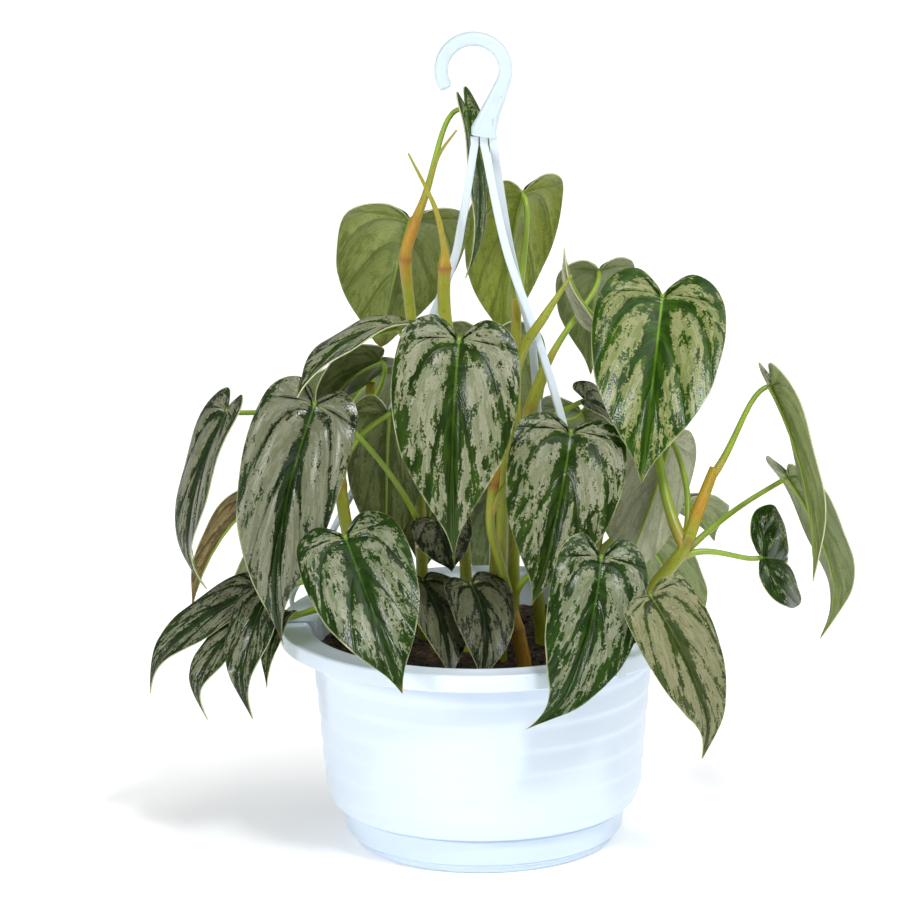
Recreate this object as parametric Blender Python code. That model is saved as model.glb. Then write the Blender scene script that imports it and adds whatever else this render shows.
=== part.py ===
# Silver-leaf philodendron in a white hanging pot, standing on its drip saucer.
#
# The pot's axis is the Z axis, the saucer stands on Z = 0 and the photo looks along +Y.
# Lengths below are in millimetres and are turned into metres when a mesh is made.

import math

import bmesh
import bpy
from mathutils import Vector

MM = 0.001
GAP = 0.3
SHARP_ANGLE = 35.0

# Pot, turned about the Z axis
FLANGE_RADIUS = 90.0
FLANGE_INNER_RADIUS = 78.0
POT_TOP = 100.0
SKIRT_HEIGHT = 7.5
SKIRT_WALL = 1.6
BODY_TOP_RADIUS = 75.4
BODY_LOW_RADIUS = 69.2
BODY_LOW_Z = 25.0
BODY_FOOT_Z = 16.6
BODY_FOOT_RADIUS = 61.6
WALL = 1.6
BAND_COUNT = 6
BAND_STEP = 0.7
POT_SIDES = 32
DRAIN_HOLES = 6
DRAIN_RADIUS = 4.0
DRAIN_CIRCLE = 40.0

# Drip saucer, clipped over the foot of the pot
SAUCER_TOP_RADIUS = 62.6
SAUCER_BASE_RADIUS = 58.0
SAUCER_ROUND = 3.0
SAUCER_WALL = 1.6
SAUCER_FLOOR = 2.4
FOOT_RING_RADIUS = 52.0
FOOT_RING_HEIGHT = 8.0

# Soil, with a plain hole for each stem
SOIL_TOP = 88.0
HOLE_DEPTH = 26.0
STEM_SINK = 22.0
STEM_CLEARANCE = 0.4

# Hanger hook: a C in the XZ plane, whose shank widens to a square block
HOOK_CENTRE_X = -1.4
HOOK_CENTRE_Z = 347.4
HOOK_RADIUS = 14.0
HOOK_WIDTH = 6.2
HOOK_DEPTH = 5.6
HOOK_START = 214.0
HOOK_END = -16.0
HOOK_STEPS = 14
SHANK = ((9.4, 337.0, 7.2), (5.2, 327.5, 9.2), (2.9, 321.5, 11.4), (2.9, 318.5, 11.4))
BLOCK_BOTTOM = 318.5
BLOCK_DEPTH = 7.0

# Hanger straps, each with a saddle clip over the flange
STRAP_WIDTH = 3.5
STRAP_THICKNESS = 2.0
STRAP_STRAIGHT = 4.0
CLIP_WIDTH = 5.0
CLIP_HEIGHT = 3.6
CLIP_PLATE = 1.6
CLIP_INNER_RADIUS = 72.2
CLIP_OUTER_DROP = 8.0
CLIP_INNER_DROP = 4.0
CLIP_SEAT_RADIUS = 83.0

# Leaves and stems
BLADE_THICKNESS = 0.8
PETIOLE_RADIUS = 1.25
PETIOLE_BASE_RADIUS = 1.7
PETIOLE_SIDES = 5
PETIOLE_STEPS = 5
STEM_SIDES = 6
STEM_STEPS = 2
RIB_STATIONS = (0.0, 0.0, 0.0, 0.04, 0.14, 0.30, 0.48, 0.68, 0.86, 1.0)
OUTLINE = (
    (0.00, 0.00),
    (-0.070, 0.14),
    (-0.115, 0.42),
    (-0.070, 0.74),
    (0.080, 0.97),
    (0.300, 1.00),
    (0.530, 0.86),
    (0.730, 0.52),
    (0.880, 0.17),
    (1.00, 0.00),
)
WIDEST_S = 0.3
ACROSS_STEPS = 2
CURL_START = 0.72
STALK_END = 0.16
TWIST_START = 0.3

stem_paths = {}


def clear_scene():
    for item in list(bpy.data.objects):
        bpy.data.objects.remove(item, do_unlink=True)


def linear(channel):
    if channel <= 0.04045:
        return channel / 12.92
    return ((channel + 0.055) / 1.055) ** 2.4


def material(name, hex_colour, roughness):
    made = bpy.data.materials.new(name)
    made.use_nodes = True
    shader = made.node_tree.nodes["Principled BSDF"]
    red, green, blue = (int(hex_colour[i : i + 2], 16) / 255 for i in (0, 2, 4))
    shader.inputs["Base Color"].default_value = (linear(red), linear(green), linear(blue), 1.0)
    shader.inputs["Roughness"].default_value = roughness
    shader.inputs["Metallic"].default_value = 0.0
    return made


def mesh_object(name, points, faces, surface=None):
    """A closed mesh object from points in millimetres, its faces turned outward."""
    mesh = bpy.data.meshes.new(name)
    mesh.from_pydata([tuple(c * MM for c in point) for point in points], [], faces)
    shape = bmesh.new()
    shape.from_mesh(mesh)
    bmesh.ops.remove_doubles(shape, verts=shape.verts, dist=1e-6)
    bmesh.ops.recalc_face_normals(shape, faces=shape.faces)
    shape.to_mesh(mesh)
    shape.free()
    made = bpy.data.objects.new(name, mesh)
    bpy.context.scene.collection.objects.link(made)
    if surface is not None:
        mesh.materials.append(surface)
    return made


def turned(name, profile, sides, surface=None):
    """Spins a closed outline of (radius, z) about the Z axis."""
    shape = bmesh.new()
    corners = [shape.verts.new((radius * MM, 0.0, z * MM)) for radius, z in profile]
    edges = []
    for here, ahead in zip(corners, corners[1:] + corners[:1]):
        if here.co.x > 0.0 or ahead.co.x > 0.0:
            edges.append(shape.edges.new((here, ahead)))
    bmesh.ops.spin(
        shape, geom=corners + edges, cent=(0, 0, 0), axis=(0, 0, 1), angle=2 * math.pi, steps=sides
    )
    bmesh.ops.remove_doubles(shape, verts=shape.verts, dist=1e-6)
    bmesh.ops.recalc_face_normals(shape, faces=shape.faces)
    mesh = bpy.data.meshes.new(name)
    shape.to_mesh(mesh)
    shape.free()
    made = bpy.data.objects.new(name, mesh)
    bpy.context.scene.collection.objects.link(made)
    if surface is not None:
        mesh.materials.append(surface)
    return made


def box(name, centre, size, surface=None, turn=0.0):
    """A block, turned about the vertical through the origin by an angle in radians."""
    cos_turn = math.cos(turn)
    sin_turn = math.sin(turn)
    points = []
    for dx in (-0.5, 0.5):
        for dy in (-0.5, 0.5):
            for dz in (-0.5, 0.5):
                x = centre[0] + dx * size[0]
                y = centre[1] + dy * size[1]
                z = centre[2] + dz * size[2]
                points.append((x * cos_turn - y * sin_turn, x * sin_turn + y * cos_turn, z))
    faces = [(0, 1, 3, 2), (4, 6, 7, 5), (0, 4, 5, 1), (2, 3, 7, 6), (0, 2, 6, 4), (1, 5, 7, 3)]
    return mesh_object(name, points, faces, surface)


def apply_boolean(target, tools, operation, solver):
    """Joins or cuts the target with a collection of tools, then removes the tools."""
    group = bpy.data.collections.new(target.name + " tools")
    bpy.context.scene.collection.children.link(group)
    for tool in tools:
        bpy.context.scene.collection.objects.unlink(tool)
        group.objects.link(tool)
    modifier = target.modifiers.new("boolean", "BOOLEAN")
    modifier.operand_type = "COLLECTION"
    modifier.collection = group
    modifier.operation = operation
    modifier.solver = solver
    for item in bpy.context.selected_objects:
        item.select_set(False)
    bpy.context.view_layer.objects.active = target
    target.select_set(True)
    bpy.ops.object.modifier_apply(modifier=modifier.name)
    for tool in tools:
        bpy.data.objects.remove(tool, do_unlink=True)
    bpy.data.collections.remove(group)
    return target


def shade_round_pieces():
    for item in bpy.data.objects:
        item.data.shade_smooth()
        item.data.set_sharp_from_angle(angle=math.radians(SHARP_ANGLE))


def catmull_rom(points, steps):
    """A smooth line through the points, with a number of steps between each two."""
    guides = [2 * points[0] - points[1]] + list(points) + [2 * points[-1] - points[-2]]
    line = []
    for i in range(1, len(guides) - 2):
        a, b, c, d = guides[i - 1 : i + 3]
        for k in range(steps):
            t = k / steps
            square = 2 * a - 5 * b + 4 * c - d
            cube = 3 * b - a - 3 * c + d
            line.append(0.5 * (2 * b + (c - a) * t + square * t**2 + cube * t**3))
    line.append(points[-1])
    return line


def skin_faces(rows, count):
    """Triangles between rows of points, with a flat cap at each end."""
    faces = []
    for i in range(rows - 1):
        for k in range(count):
            a = i * count + k
            b = i * count + (k + 1) % count
            faces.append((a, b, b + count))
            faces.append((a, b + count, a + count))
    last = (rows - 1) * count
    faces.append(tuple(reversed(range(count))))
    faces.append(tuple(last + k for k in range(count)))
    return faces


def tube_mesh(line, radii, sides, side):
    """Points and faces of a round tube along a line, its first corner towards a side."""
    tangents = []
    for i in range(len(line)):
        ahead = line[min(i + 1, len(line) - 1)]
        behind = line[max(i - 1, 0)]
        tangents.append((ahead - behind).normalized())
    points = []
    for place, tangent, radius in zip(line, tangents, radii):
        side = (side - tangent * side.dot(tangent)).normalized()
        other = tangent.cross(side)
        for k in range(sides):
            angle = 2 * math.pi * k / sides
            points.append(place + radius * (math.cos(angle) * side + math.sin(angle) * other))
    return points, skin_faces(len(line), sides)


def wall_radius(z):
    """Outer radius of the tapering pot wall at a height."""
    share = (z - BODY_LOW_Z) / (POT_TOP - SKIRT_HEIGHT - BODY_LOW_Z)
    return BODY_LOW_RADIUS + share * (BODY_TOP_RADIUS - BODY_LOW_RADIUS)


def build_pot():
    """Thin white shell with an overhanging flange, shallow bands and a drained floor."""
    skirt_bottom = POT_TOP - SKIRT_HEIGHT
    flange_under = POT_TOP - WALL
    outer = [(FLANGE_RADIUS - 0.8, POT_TOP), (FLANGE_RADIUS, POT_TOP - 0.8), (FLANGE_RADIUS, skirt_bottom)]
    outer.append((FLANGE_RADIUS - SKIRT_WALL, skirt_bottom))
    outer.append((FLANGE_RADIUS - SKIRT_WALL, flange_under))
    outer.append((wall_radius(flange_under) + 0.5, flange_under))
    band_height = (skirt_bottom - BODY_LOW_Z) / BAND_COUNT
    for band in range(BAND_COUNT):
        top = skirt_bottom - band * band_height
        bottom = top - band_height
        outer.append((wall_radius(top), top - 0.5))
        outer.append((wall_radius(bottom) + BAND_STEP, bottom + 1.0))
    foot_rise = BODY_LOW_Z - BODY_FOOT_Z
    foot_inset = BODY_LOW_RADIUS - BODY_FOOT_RADIUS
    for step in range(4):
        angle = math.radians(30 * step)
        radius = BODY_FOOT_RADIUS + foot_inset * math.cos(angle)
        outer.append((radius, BODY_LOW_Z - foot_rise * math.sin(angle)))
    ring_bottom = BODY_FOOT_Z - FOOT_RING_HEIGHT
    outer += [(FOOT_RING_RADIUS, BODY_FOOT_Z), (FOOT_RING_RADIUS, ring_bottom)]
    outer += [(FOOT_RING_RADIUS - WALL, ring_bottom), (FOOT_RING_RADIUS - WALL, BODY_FOOT_Z)]
    floor_top = BODY_FOOT_Z + WALL
    inner = [(0.0, BODY_FOOT_Z), (0.0, floor_top), (BODY_FOOT_RADIUS - 1.0, floor_top)]
    inner.append((BODY_LOW_RADIUS - WALL, BODY_LOW_Z + 1.0))
    inner.append((wall_radius(flange_under) - WALL, POT_TOP - 6.0))
    inner.append((FLANGE_INNER_RADIUS - 0.8, POT_TOP))
    pot = turned("pot", outer + inner, POT_SIDES, material("pot_plastic", "EEF4FA", 0.35))
    drills = []
    for k in range(DRAIN_HOLES):
        angle = 2 * math.pi * k / DRAIN_HOLES
        outline = [(0.0, BODY_FOOT_Z - 2.0), (DRAIN_RADIUS, BODY_FOOT_Z - 2.0)]
        outline += [(DRAIN_RADIUS, floor_top + 2.0), (0.0, floor_top + 2.0)]
        drill = turned(f"drain_{k}", outline, 10)
        drill.location = (DRAIN_CIRCLE * math.cos(angle) * MM, DRAIN_CIRCLE * math.sin(angle) * MM, 0.0)
        drills.append(drill)
    apply_boolean(pot, drills, "DIFFERENCE", "EXACT")
    return pot


def build_saucer():
    """Shallow round bowl that stands on the floor and holds the pot by its foot ring."""
    top = BODY_FOOT_Z - GAP
    outline = [(0.0, 0.0), (SAUCER_BASE_RADIUS - SAUCER_ROUND, 0.0)]
    for step in range(1, 4):
        angle = math.radians(30 * step)
        radius = SAUCER_BASE_RADIUS - SAUCER_ROUND * (1 - math.sin(angle))
        outline.append((radius, SAUCER_ROUND * (1 - math.cos(angle))))
    outline += [(SAUCER_TOP_RADIUS - 1.2, 6.0), (SAUCER_TOP_RADIUS, top)]
    outline += [(SAUCER_TOP_RADIUS - SAUCER_WALL, top), (SAUCER_BASE_RADIUS - SAUCER_WALL, 5.0)]
    seat = BODY_FOOT_Z - FOOT_RING_HEIGHT - GAP
    outline += [(FOOT_RING_RADIUS + 2.0, SAUCER_FLOOR), (FOOT_RING_RADIUS + 0.8, seat)]
    outline += [(FOOT_RING_RADIUS - 3.0, seat), (FOOT_RING_RADIUS - 4.0, SAUCER_FLOOR), (0.0, SAUCER_FLOOR)]
    return turned("drip_saucer", outline, POT_SIDES, material("saucer_plastic", "DCEAFB", 0.35))


def build_soil(stem_feet):
    """Potting soil that fills the shell, drilled with a plain blind hole for each stem."""
    floor = BODY_FOOT_Z + WALL + GAP
    wall = wall_radius(SOIL_TOP) - WALL - 2 * GAP
    outline = [(0.0, floor), (BODY_FOOT_RADIUS - 2.2, floor)]
    outline += [(BODY_LOW_RADIUS - WALL - 1.2, BODY_LOW_Z + 3.0), (wall - 0.6, SOIL_TOP - 3.0)]
    outline += [(wall - 3.0, SOIL_TOP - 0.5), (0.0, SOIL_TOP)]
    soil = turned("soil", outline, 24, material("soil", "2A211B", 0.95))
    drills = []
    for k, (x, y, radius) in enumerate(stem_feet):
        bottom = SOIL_TOP - HOLE_DEPTH
        hole = [(0.0, bottom), (radius, bottom), (radius, SOIL_TOP + 5.0), (0.0, SOIL_TOP + 5.0)]
        drill = turned(f"hole_{k}", hole, 8)
        drill.location = (x * MM, y * MM, 0.0)
        drills.append(drill)
    apply_boolean(soil, drills, "DIFFERENCE", "EXACT")
    return soil


def sweep(name, line, sections, wide_ways, surface=None):
    """Sweeps a cross-section along a line; each is a list of (across, deep) offsets."""
    points = []
    for i, (place, section, way) in enumerate(zip(line, sections, wide_ways)):
        tangent = (line[min(i + 1, len(line) - 1)] - line[max(i - 1, 0)]).normalized()
        wide = (way - tangent * way.dot(tangent)).normalized()
        deep = tangent.cross(wide)
        for across, depth in section:
            points.append(place + wide * across + deep * depth)
    return mesh_object(name, points, skin_faces(len(line), len(sections[0])), surface)


def rounded_section(width, depth, corner):
    """Eight corners of a rectangle with its corners cut."""
    w = width / 2
    d = depth / 2
    near_w = w - corner
    near_d = d - corner
    return [
        (near_w, -d),
        (w, -near_d),
        (w, near_d),
        (near_w, d),
        (-near_w, d),
        (-w, near_d),
        (-w, -near_d),
        (-near_w, -d),
    ]


def build_hook():
    """White moulded hook: nearly a full turn, open at the lower left, and its shank."""
    line = []
    sections = []
    for k in range(HOOK_STEPS + 1):
        angle = math.radians(HOOK_START + (HOOK_END - HOOK_START) * k / HOOK_STEPS)
        x = HOOK_CENTRE_X + HOOK_RADIUS * math.cos(angle)
        z = HOOK_CENTRE_Z + HOOK_RADIUS * math.sin(angle)
        line.append(Vector((x, 0.0, z)))
        sections.append(rounded_section(HOOK_WIDTH, HOOK_DEPTH, 1.6))
    sections[0] = rounded_section(HOOK_WIDTH * 0.5, HOOK_DEPTH * 0.5, 0.8)
    for x, z, width in SHANK:
        line.append(Vector((x, 0.0, z)))
        sections.append(rounded_section(width, BLOCK_DEPTH if z < 325.0 else HOOK_DEPTH, 0.9))
    ways = []
    for i in range(len(line)):
        tangent = (line[min(i + 1, len(line) - 1)] - line[max(i - 1, 0)]).normalized()
        ways.append(Vector((-tangent.z, 0.0, tangent.x)))
    ways[-1] = Vector((1.0, 0.0, 0.0))
    ways[-2] = Vector((1.0, 0.0, 0.0))
    for i in range(len(ways)):
        if ways[i].dot(ways[max(i - 1, 0)]) < 0.0:
            ways[i] = -ways[i]
    return sweep("hanger_hook", line, sections, ways, material("hook_plastic", "E4F5FA", 0.3))


def build_strap(name, top_x, bends, clip_azimuth):
    """Flat strap from under the hook's block to a saddle clip on the pot's flange.

    The azimuth is counted from the front of the pot (-Y) towards +X.
    """
    azimuth = math.radians(clip_azimuth)
    outward = Vector((math.sin(azimuth), -math.cos(azimuth), 0.0))
    along_rim = Vector((math.cos(azimuth), math.sin(azimuth), 0.0))
    seat = outward * CLIP_SEAT_RADIUS + Vector((0.0, 0.0, POT_TOP + 2.0))
    post = outward * CLIP_SEAT_RADIUS + Vector((0.0, 0.0, POT_TOP + 14.0))
    under_block = Vector((top_x, 0.0, BLOCK_BOTTOM - GAP))
    route = [Vector((top_x, 0.0, BLOCK_BOTTOM - STRAP_STRAIGHT))] + [Vector(bend) for bend in bends]
    line = [under_block] + catmull_rom(route + [post, seat], 3)
    w = STRAP_WIDTH / 2
    t = STRAP_THICKNESS / 2
    section = [(w, -t), (w, t), (-w, t), (-w, -t)]
    across = Vector((1.0, 0.0, 0.0))
    if along_rim.x < 0.0:
        along_rim = -along_rim
    ways = [across.lerp(along_rim, i / (len(line) - 1)) for i in range(len(line))]
    strap = sweep(name, line, [section] * len(line), ways, material(name + "_plastic", "EDF4F9", 0.35))
    top = POT_TOP + GAP + CLIP_HEIGHT
    outer = FLANGE_RADIUS + GAP + CLIP_PLATE
    turn = azimuth - math.pi / 2
    bar_middle = (CLIP_INNER_RADIUS + outer) / 2
    bar_size = (outer - CLIP_INNER_RADIUS, CLIP_WIDTH, CLIP_HEIGHT)
    bar = box("clip_bar", (bar_middle, 0.0, top - CLIP_HEIGHT / 2), bar_size, None, turn)
    outer_height = CLIP_HEIGHT + CLIP_OUTER_DROP
    outer_centre = (outer - CLIP_PLATE / 2, 0.0, top - outer_height / 2 - 0.1)
    outer_leg = box("clip_outer", outer_centre, (CLIP_PLATE, CLIP_WIDTH - 0.6, outer_height), None, turn)
    inner_height = CLIP_HEIGHT + CLIP_INNER_DROP
    inner_centre = (CLIP_INNER_RADIUS + CLIP_PLATE / 2 + 0.1, 0.0, top - inner_height / 2 - 0.1)
    inner_leg = box("clip_inner", inner_centre, (CLIP_PLATE, CLIP_WIDTH - 0.6, inner_height), None, turn)
    return apply_boolean(strap, [bar, outer_leg, inner_leg], "UNION", "EXACT")


def build_stem(name, foot, points, radii, colour):
    """A round stem from its hole in the soil through hand-placed points to its tip."""
    x, y = foot
    route = [Vector((x, y, SOIL_TOP + 2.0))] + [Vector(point) for point in points]
    line = [Vector((x, y, SOIL_TOP - STEM_SINK))] + catmull_rom(route, STEM_STEPS)
    given = [radii[0]] + list(radii)
    thick = [radii[0]]
    for i in range(len(line) - 1):
        low = min(i // STEM_STEPS, len(given) - 2)
        share = i / STEM_STEPS - low
        thick.append(given[low] * (1 - share) + given[low + 1] * share)
    stem_paths[name] = (line, thick)
    points, faces = tube_mesh(line, thick, STEM_SIDES, Vector((1.0, 0.0, 0.0)))
    return mesh_object(name, points, faces, material(name + "_bark", colour, 0.5))


def stem_place(name, z):
    """Centre, direction and radius of a stem where it passes a height."""
    line, thick = stem_paths[name]
    for i in range(1, len(line)):
        if line[i].z >= z:
            share = (z - line[i - 1].z) / (line[i].z - line[i - 1].z)
            place = line[i - 1].lerp(line[i], share)
            radius = thick[i - 1] + share * (thick[i] - thick[i - 1])
            return place, (line[i] - line[i - 1]).normalized(), radius
    return line[-1], (line[-1] - line[-2]).normalized(), thick[-1]


class Blade:
    """Heart-shaped blade, described by s along its midrib and w across it.

    s runs from 0 at the petiole to 1 at the tip and is below 0 in the lobes; w runs
    from -1 to 1 between the widest points of the two margins.
    """

    def __init__(self, base, tip, width, face, arch, fold, cup, sway, curl, twist, wave, lobes, taper):
        self.base = Vector(base)
        self.chord = Vector(tip) - self.base
        self.length = self.chord.length
        along = self.chord.normalized()
        face = Vector(face)
        self.up = (face - along * face.dot(along)).normalized()
        self.across = along.cross(self.up)
        self.half = width / 2
        self.arch = arch
        self.fold = fold if isinstance(fold, tuple) else (fold, fold)
        self.cup = cup
        self.sway = sway
        self.curl = curl
        self.twist = twist
        self.wave = wave
        self.lobes = lobes
        self.taper = taper

    def rib(self, s):
        if s < 0.0:
            return self.rib(0.0) + (self.rib(0.01) - self.rib(0.0)) * (s / 0.01)
        bow = 4.0 * s * (1.0 - s)
        bend = max(0.0, (s - CURL_START) / (1.0 - CURL_START)) ** 2
        side = self.sway * bow + self.curl[0] * bend
        lift = self.arch * bow - self.curl[1] * bend
        return self.base + self.chord * s + self.across * side + self.up * lift

    def frame(self, s):
        """Directions along, across and up from the blade at a place on the midrib."""
        start = min(max(s, 0.0), 0.99)
        along = (self.rib(start + 0.01) - self.rib(start)).normalized()
        across = (along.cross(self.up)).normalized()
        up = across.cross(along)
        angle = math.radians(self.twist) * (max(s, 0.0) - TWIST_START)
        turned_across = across * math.cos(angle) + up * math.sin(angle)
        turned_up = up * math.cos(angle) - across * math.sin(angle)
        return along, turned_across, turned_up

    def margin(self, s, w):
        """This blade's margin at a station of the common outline."""
        if s < 0.0:
            return s * self.lobes, w
        return s, w ** (1.0 + (self.taper - 1.0) * min(1.0, s / WIDEST_S))

    def point(self, s, w):
        along, across, up = self.frame(s)
        fold = math.radians(self.fold[0] if w > 0 else self.fold[1])
        reach = abs(w) * self.half
        ripple = self.wave * w * w * math.sin(9.0 * s + (1.3 if w > 0 else 0.0))
        height = reach * math.sin(fold) - self.cup * self.half * w * w + ripple
        side = math.copysign(reach * math.cos(fold), w)
        return self.rib(s) + across * side + up * height

    def normal(self, s, w):
        if w == 0.0:
            return self.frame(s)[2]
        small = 0.02
        along = self.point(s + small, w) - self.point(s - small, w)
        across = self.point(s, w) - self.point(s, w * 0.9)
        if w < 0:
            across = -across
        return across.cross(along).normalized()


def blade_mesh(blade):
    """Points and triangles of a blade, split alike on its upper and lower side."""
    points = []
    triangles = []
    rows = len(OUTLINE)
    for side in (1, -1):
        top = []
        bottom = []
        for station, rib_s in zip(OUTLINE, RIB_STATIONS):
            edge_s, edge_w = blade.margin(*station)
            for j in range(ACROSS_STEPS + 1):
                share = j / ACROSS_STEPS
                s = rib_s + (edge_s - rib_s) * share
                w = side * edge_w * share
                place = blade.point(s, w)
                top.append(len(points))
                points.append(place)
                bottom.append(len(points))
                points.append(place - blade.normal(s, w) * BLADE_THICKNESS)
        width = ACROSS_STEPS + 1
        for i in range(rows - 1):
            for j in range(ACROSS_STEPS):
                a = i * width + j
                b = a + 1
                c = a + width + 1
                d = a + width
                for sheet in (top, bottom):
                    triangles.append((sheet[a], sheet[b], sheet[c]))
                    triangles.append((sheet[a], sheet[c], sheet[d]))
            a = i * width + ACROSS_STEPS
            d = a + width
            triangles.append((top[a], top[d], bottom[d]))
            triangles.append((top[a], bottom[d], bottom[a]))
    return points, triangles


def petiole_line(blade, stem, height, rise, reach, guides):
    """A leaf stalk: off the stem beside it, up in an arc, and in from under the blade.

    Gives its line and the direction in which it leaves the stem. The guides, if given, are
    the two points that draw the arc.
    """
    centre, up_stem, stem_radius = stem_place(stem, height)
    target = blade.base - blade.up * (BLADE_THICKNESS + 0.55)
    outward = target - centre
    outward = (outward - up_stem * outward.dot(up_stem)).normalized()
    start = centre + outward * (stem_radius + GAP + PETIOLE_BASE_RADIUS)
    distance = (target - start).length
    first = start + (up_stem * rise + outward * 0.25) * distance * 0.4
    last = target - blade.up * distance * reach
    if guides:
        first, last = [Vector(guide) for guide in guides]
    line = []
    for k in range(PETIOLE_STEPS + 1):
        t = k / PETIOLE_STEPS
        u = 1 - t
        line.append(start * u**3 + first * (3 * t * u**2) + last * (3 * t**2 * u) + target * t**3)
    line.append(blade.rib(STALK_END) - blade.frame(STALK_END)[2] * BLADE_THICKNESS)
    return line, outward


def build_leaf(
    name,
    base,
    tip,
    width,
    face,
    stem,
    height,
    colour="6E7F5B",
    arch=6.0,
    fold=14.0,
    cup=0.12,
    sway=0.0,
    curl=(0.0, 0.0),
    twist=0.0,
    wave=1.2,
    lobes=1.0,
    taper=1.0,
    rise=1.0,
    reach=0.22,
    guides=None,
):
    """One leaf: blade and petiole fused, its stalk ending beside the stem."""
    blade = Blade(base, tip, width, face, arch, fold, cup, sway, curl, twist, wave, lobes, taper)
    points, triangles = blade_mesh(blade)
    leaf = mesh_object(name, points, triangles, material(name + "_green", colour, 0.45))
    line, outward = petiole_line(blade, stem, height, rise, reach, guides)
    radii = []
    for k in range(len(line)):
        share = min(k / PETIOLE_STEPS, 1.0)
        radii.append(PETIOLE_BASE_RADIUS + share * (PETIOLE_RADIUS - PETIOLE_BASE_RADIUS))
    radii[-1] = PETIOLE_RADIUS / 2
    points, faces = tube_mesh(line, radii, PETIOLE_SIDES, -outward)
    stalk = mesh_object(name + " stalk", points, faces)
    return apply_boolean(leaf, [stalk], "UNION", "EXACT")


STEM_FEET = {
    "stem_tall_left": (-26.0, 14.0),
    "stem_tall_right": (-6.0, -6.0),
    "stem_back_centre": (14.0, 36.0),
    "stem_olive": (26.0, 4.0),
    "stem_spear": (8.0, -22.0),
    "stem_centre_front": (18.0, -32.0),
    "stem_right": (56.0, -20.0),
    "stem_right_back": (46.0, 24.0),
    "stem_left": (-48.0, -16.0),
    "stem_left_back": (-42.0, 26.0),
    "stem_back": (6.0, 52.0),
}


def build_stems():
    def stem(name, points, radii, colour="8A8A3A"):
        return build_stem(name, STEM_FEET[name], points, radii, colour)

    stem(
        "stem_tall_left",
        [(-27, 12, 150), (-28, 9, 205), (-30, 8, 237), (-32, 8, 262)]
        + [(-28, 8, 277), (-22, 6, 293), (-17, 3, 309), (-9, 0, 321)],
        [2.6, 2.3, 2.3, 2.7, 2.5, 1.3, 0.8, 0.4],
        "B58A3C",
    )
    stem(
        "stem_tall_right",
        [(-8, -7, 150), (-10, -7, 205), (-15, -6, 240), (-15, -6, 261)]
        + [(-15, -6, 270), (-19, -8, 289), (-30, -10, 313)],
        [2.6, 2.6, 2.9, 2.8, 1.5, 1.1, 0.4],
        "B08C45",
    )
    stem("stem_back_centre", [(15, 37, 150), (16, 38, 205), (17, 39, 236)], [2.8, 2.6, 2.0], "A87A3A")
    stem(
        "stem_olive",
        [(23, 1, 150), (21, 0, 188), (28, 0, 212), (30, 1, 219)], [2.6, 3.0, 2.6, 1.6], "9A8A3C"
    )
    stem(
        "stem_spear",
        [(9, -24, 150), (12, -25, 200), (18, -26, 227), (28, -29, 244), (40, -31, 263)],
        [2.6, 2.4, 2.4, 2.0, 0.5],
        "7F8A44",
    )
    stem(
        "stem_centre_front",
        [(15, -32, 104), (11, -32, 121), (7, -34, 138), (4, -38, 151)]
        + [(4, -40, 163), (6, -39, 176), (7, -38, 184)],
        [3.2, 2.4, 2.0, 2.0, 2.0, 2.3, 2.0],
    )
    stem(
        "stem_right",
        [(64, -25, 104), (76, -32, 124), (88, -36, 141), (95, -31, 158), (102, -24, 174)],
        [3.0, 3.0, 2.8, 2.8, 2.2],
        "C0813E",
    )
    stem("stem_right_back", [(52, 31, 130), (61, 39, 165), (64, 41, 188)], [2.8, 2.6, 2.0])
    stem("stem_left", [(-55, -18, 125), (-61, -17, 160), (-62, -15, 188)], [2.8, 2.8, 2.0])
    stem("stem_left_back", [(-46, 27, 140), (-50, 27, 175), (-48, 25, 202)], [2.8, 2.6, 2.0])
    stem("stem_back", [(7, 55, 140), (9, 57, 190), (10, 57, 205)], [2.8, 2.6, 2.0])


def build_front_leaves():
    leaf = build_leaf
    leaf(
        "leaf_front_centre", (-9, -50, 239), (-12, -74, 144), 57, (0, -1, 0),
        "stem_centre_front", 178, sway=2, lobes=0.85, taper=1.6,
    )
    leaf(
        "leaf_front_right", (39, -44, 196), (21, -66, 124), 53, (0, -1, 0),
        "stem_centre_front", 160, sway=-1.5, lobes=0.75, taper=1.2,
    )
    leaf(
        "leaf_rim_right", (51, -76, 148), (25, -100, 76), 44, (0.1, -1, 0),
        "stem_centre_front", 112, sway=-4, curl=(8, 0), taper=1.2,
    )
    leaf(
        "leaf_low_right", (72, -86, 134), (100, -82, 62), 36, (0.5, -1, 0),
        "stem_right", 112, sway=-2, curl=(7, 0), lobes=0.35, guides=((74, -44, 130), (82, -78, 128)),
    )
    leaf(
        "leaf_upper_right", (80, -8, 247), (69, -60, 177), 60, (0, -1, 0.5),
        "stem_right", 143, lobes=1.25, guides=((78, -26, 155), (68, 10, 226)),
    )
    leaf(
        "leaf_big_left", (-72, -30, 206), (-91, -47, 103), 49, (-0.3, -1, 0),
        "stem_tall_left", 130, sway=4, curl=(-4, 0), lobes=0.75, taper=1.2,
        guides=((-19, -30, 148), (-52, -20, 196)),
    )
    leaf("leaf_rim_left", (-59, -60, 154), (-35, -102, 96), 50, (0, -1, 0.5), "stem_left", 125)
    leaf(
        "leaf_pot_centre", (-5, -36, 126), (-1, -70, 92), 29, (0.15, -0.55, 0.85),
        "stem_tall_right", 108, sway=-3, taper=0.8,
    )
    leaf(
        "leaf_pot_left", (-26, -22, 124), (-14, -64, 92), 30, (0.3, -0.5, 0.8),
        "stem_tall_left", 108, taper=0.8,
    )


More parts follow.
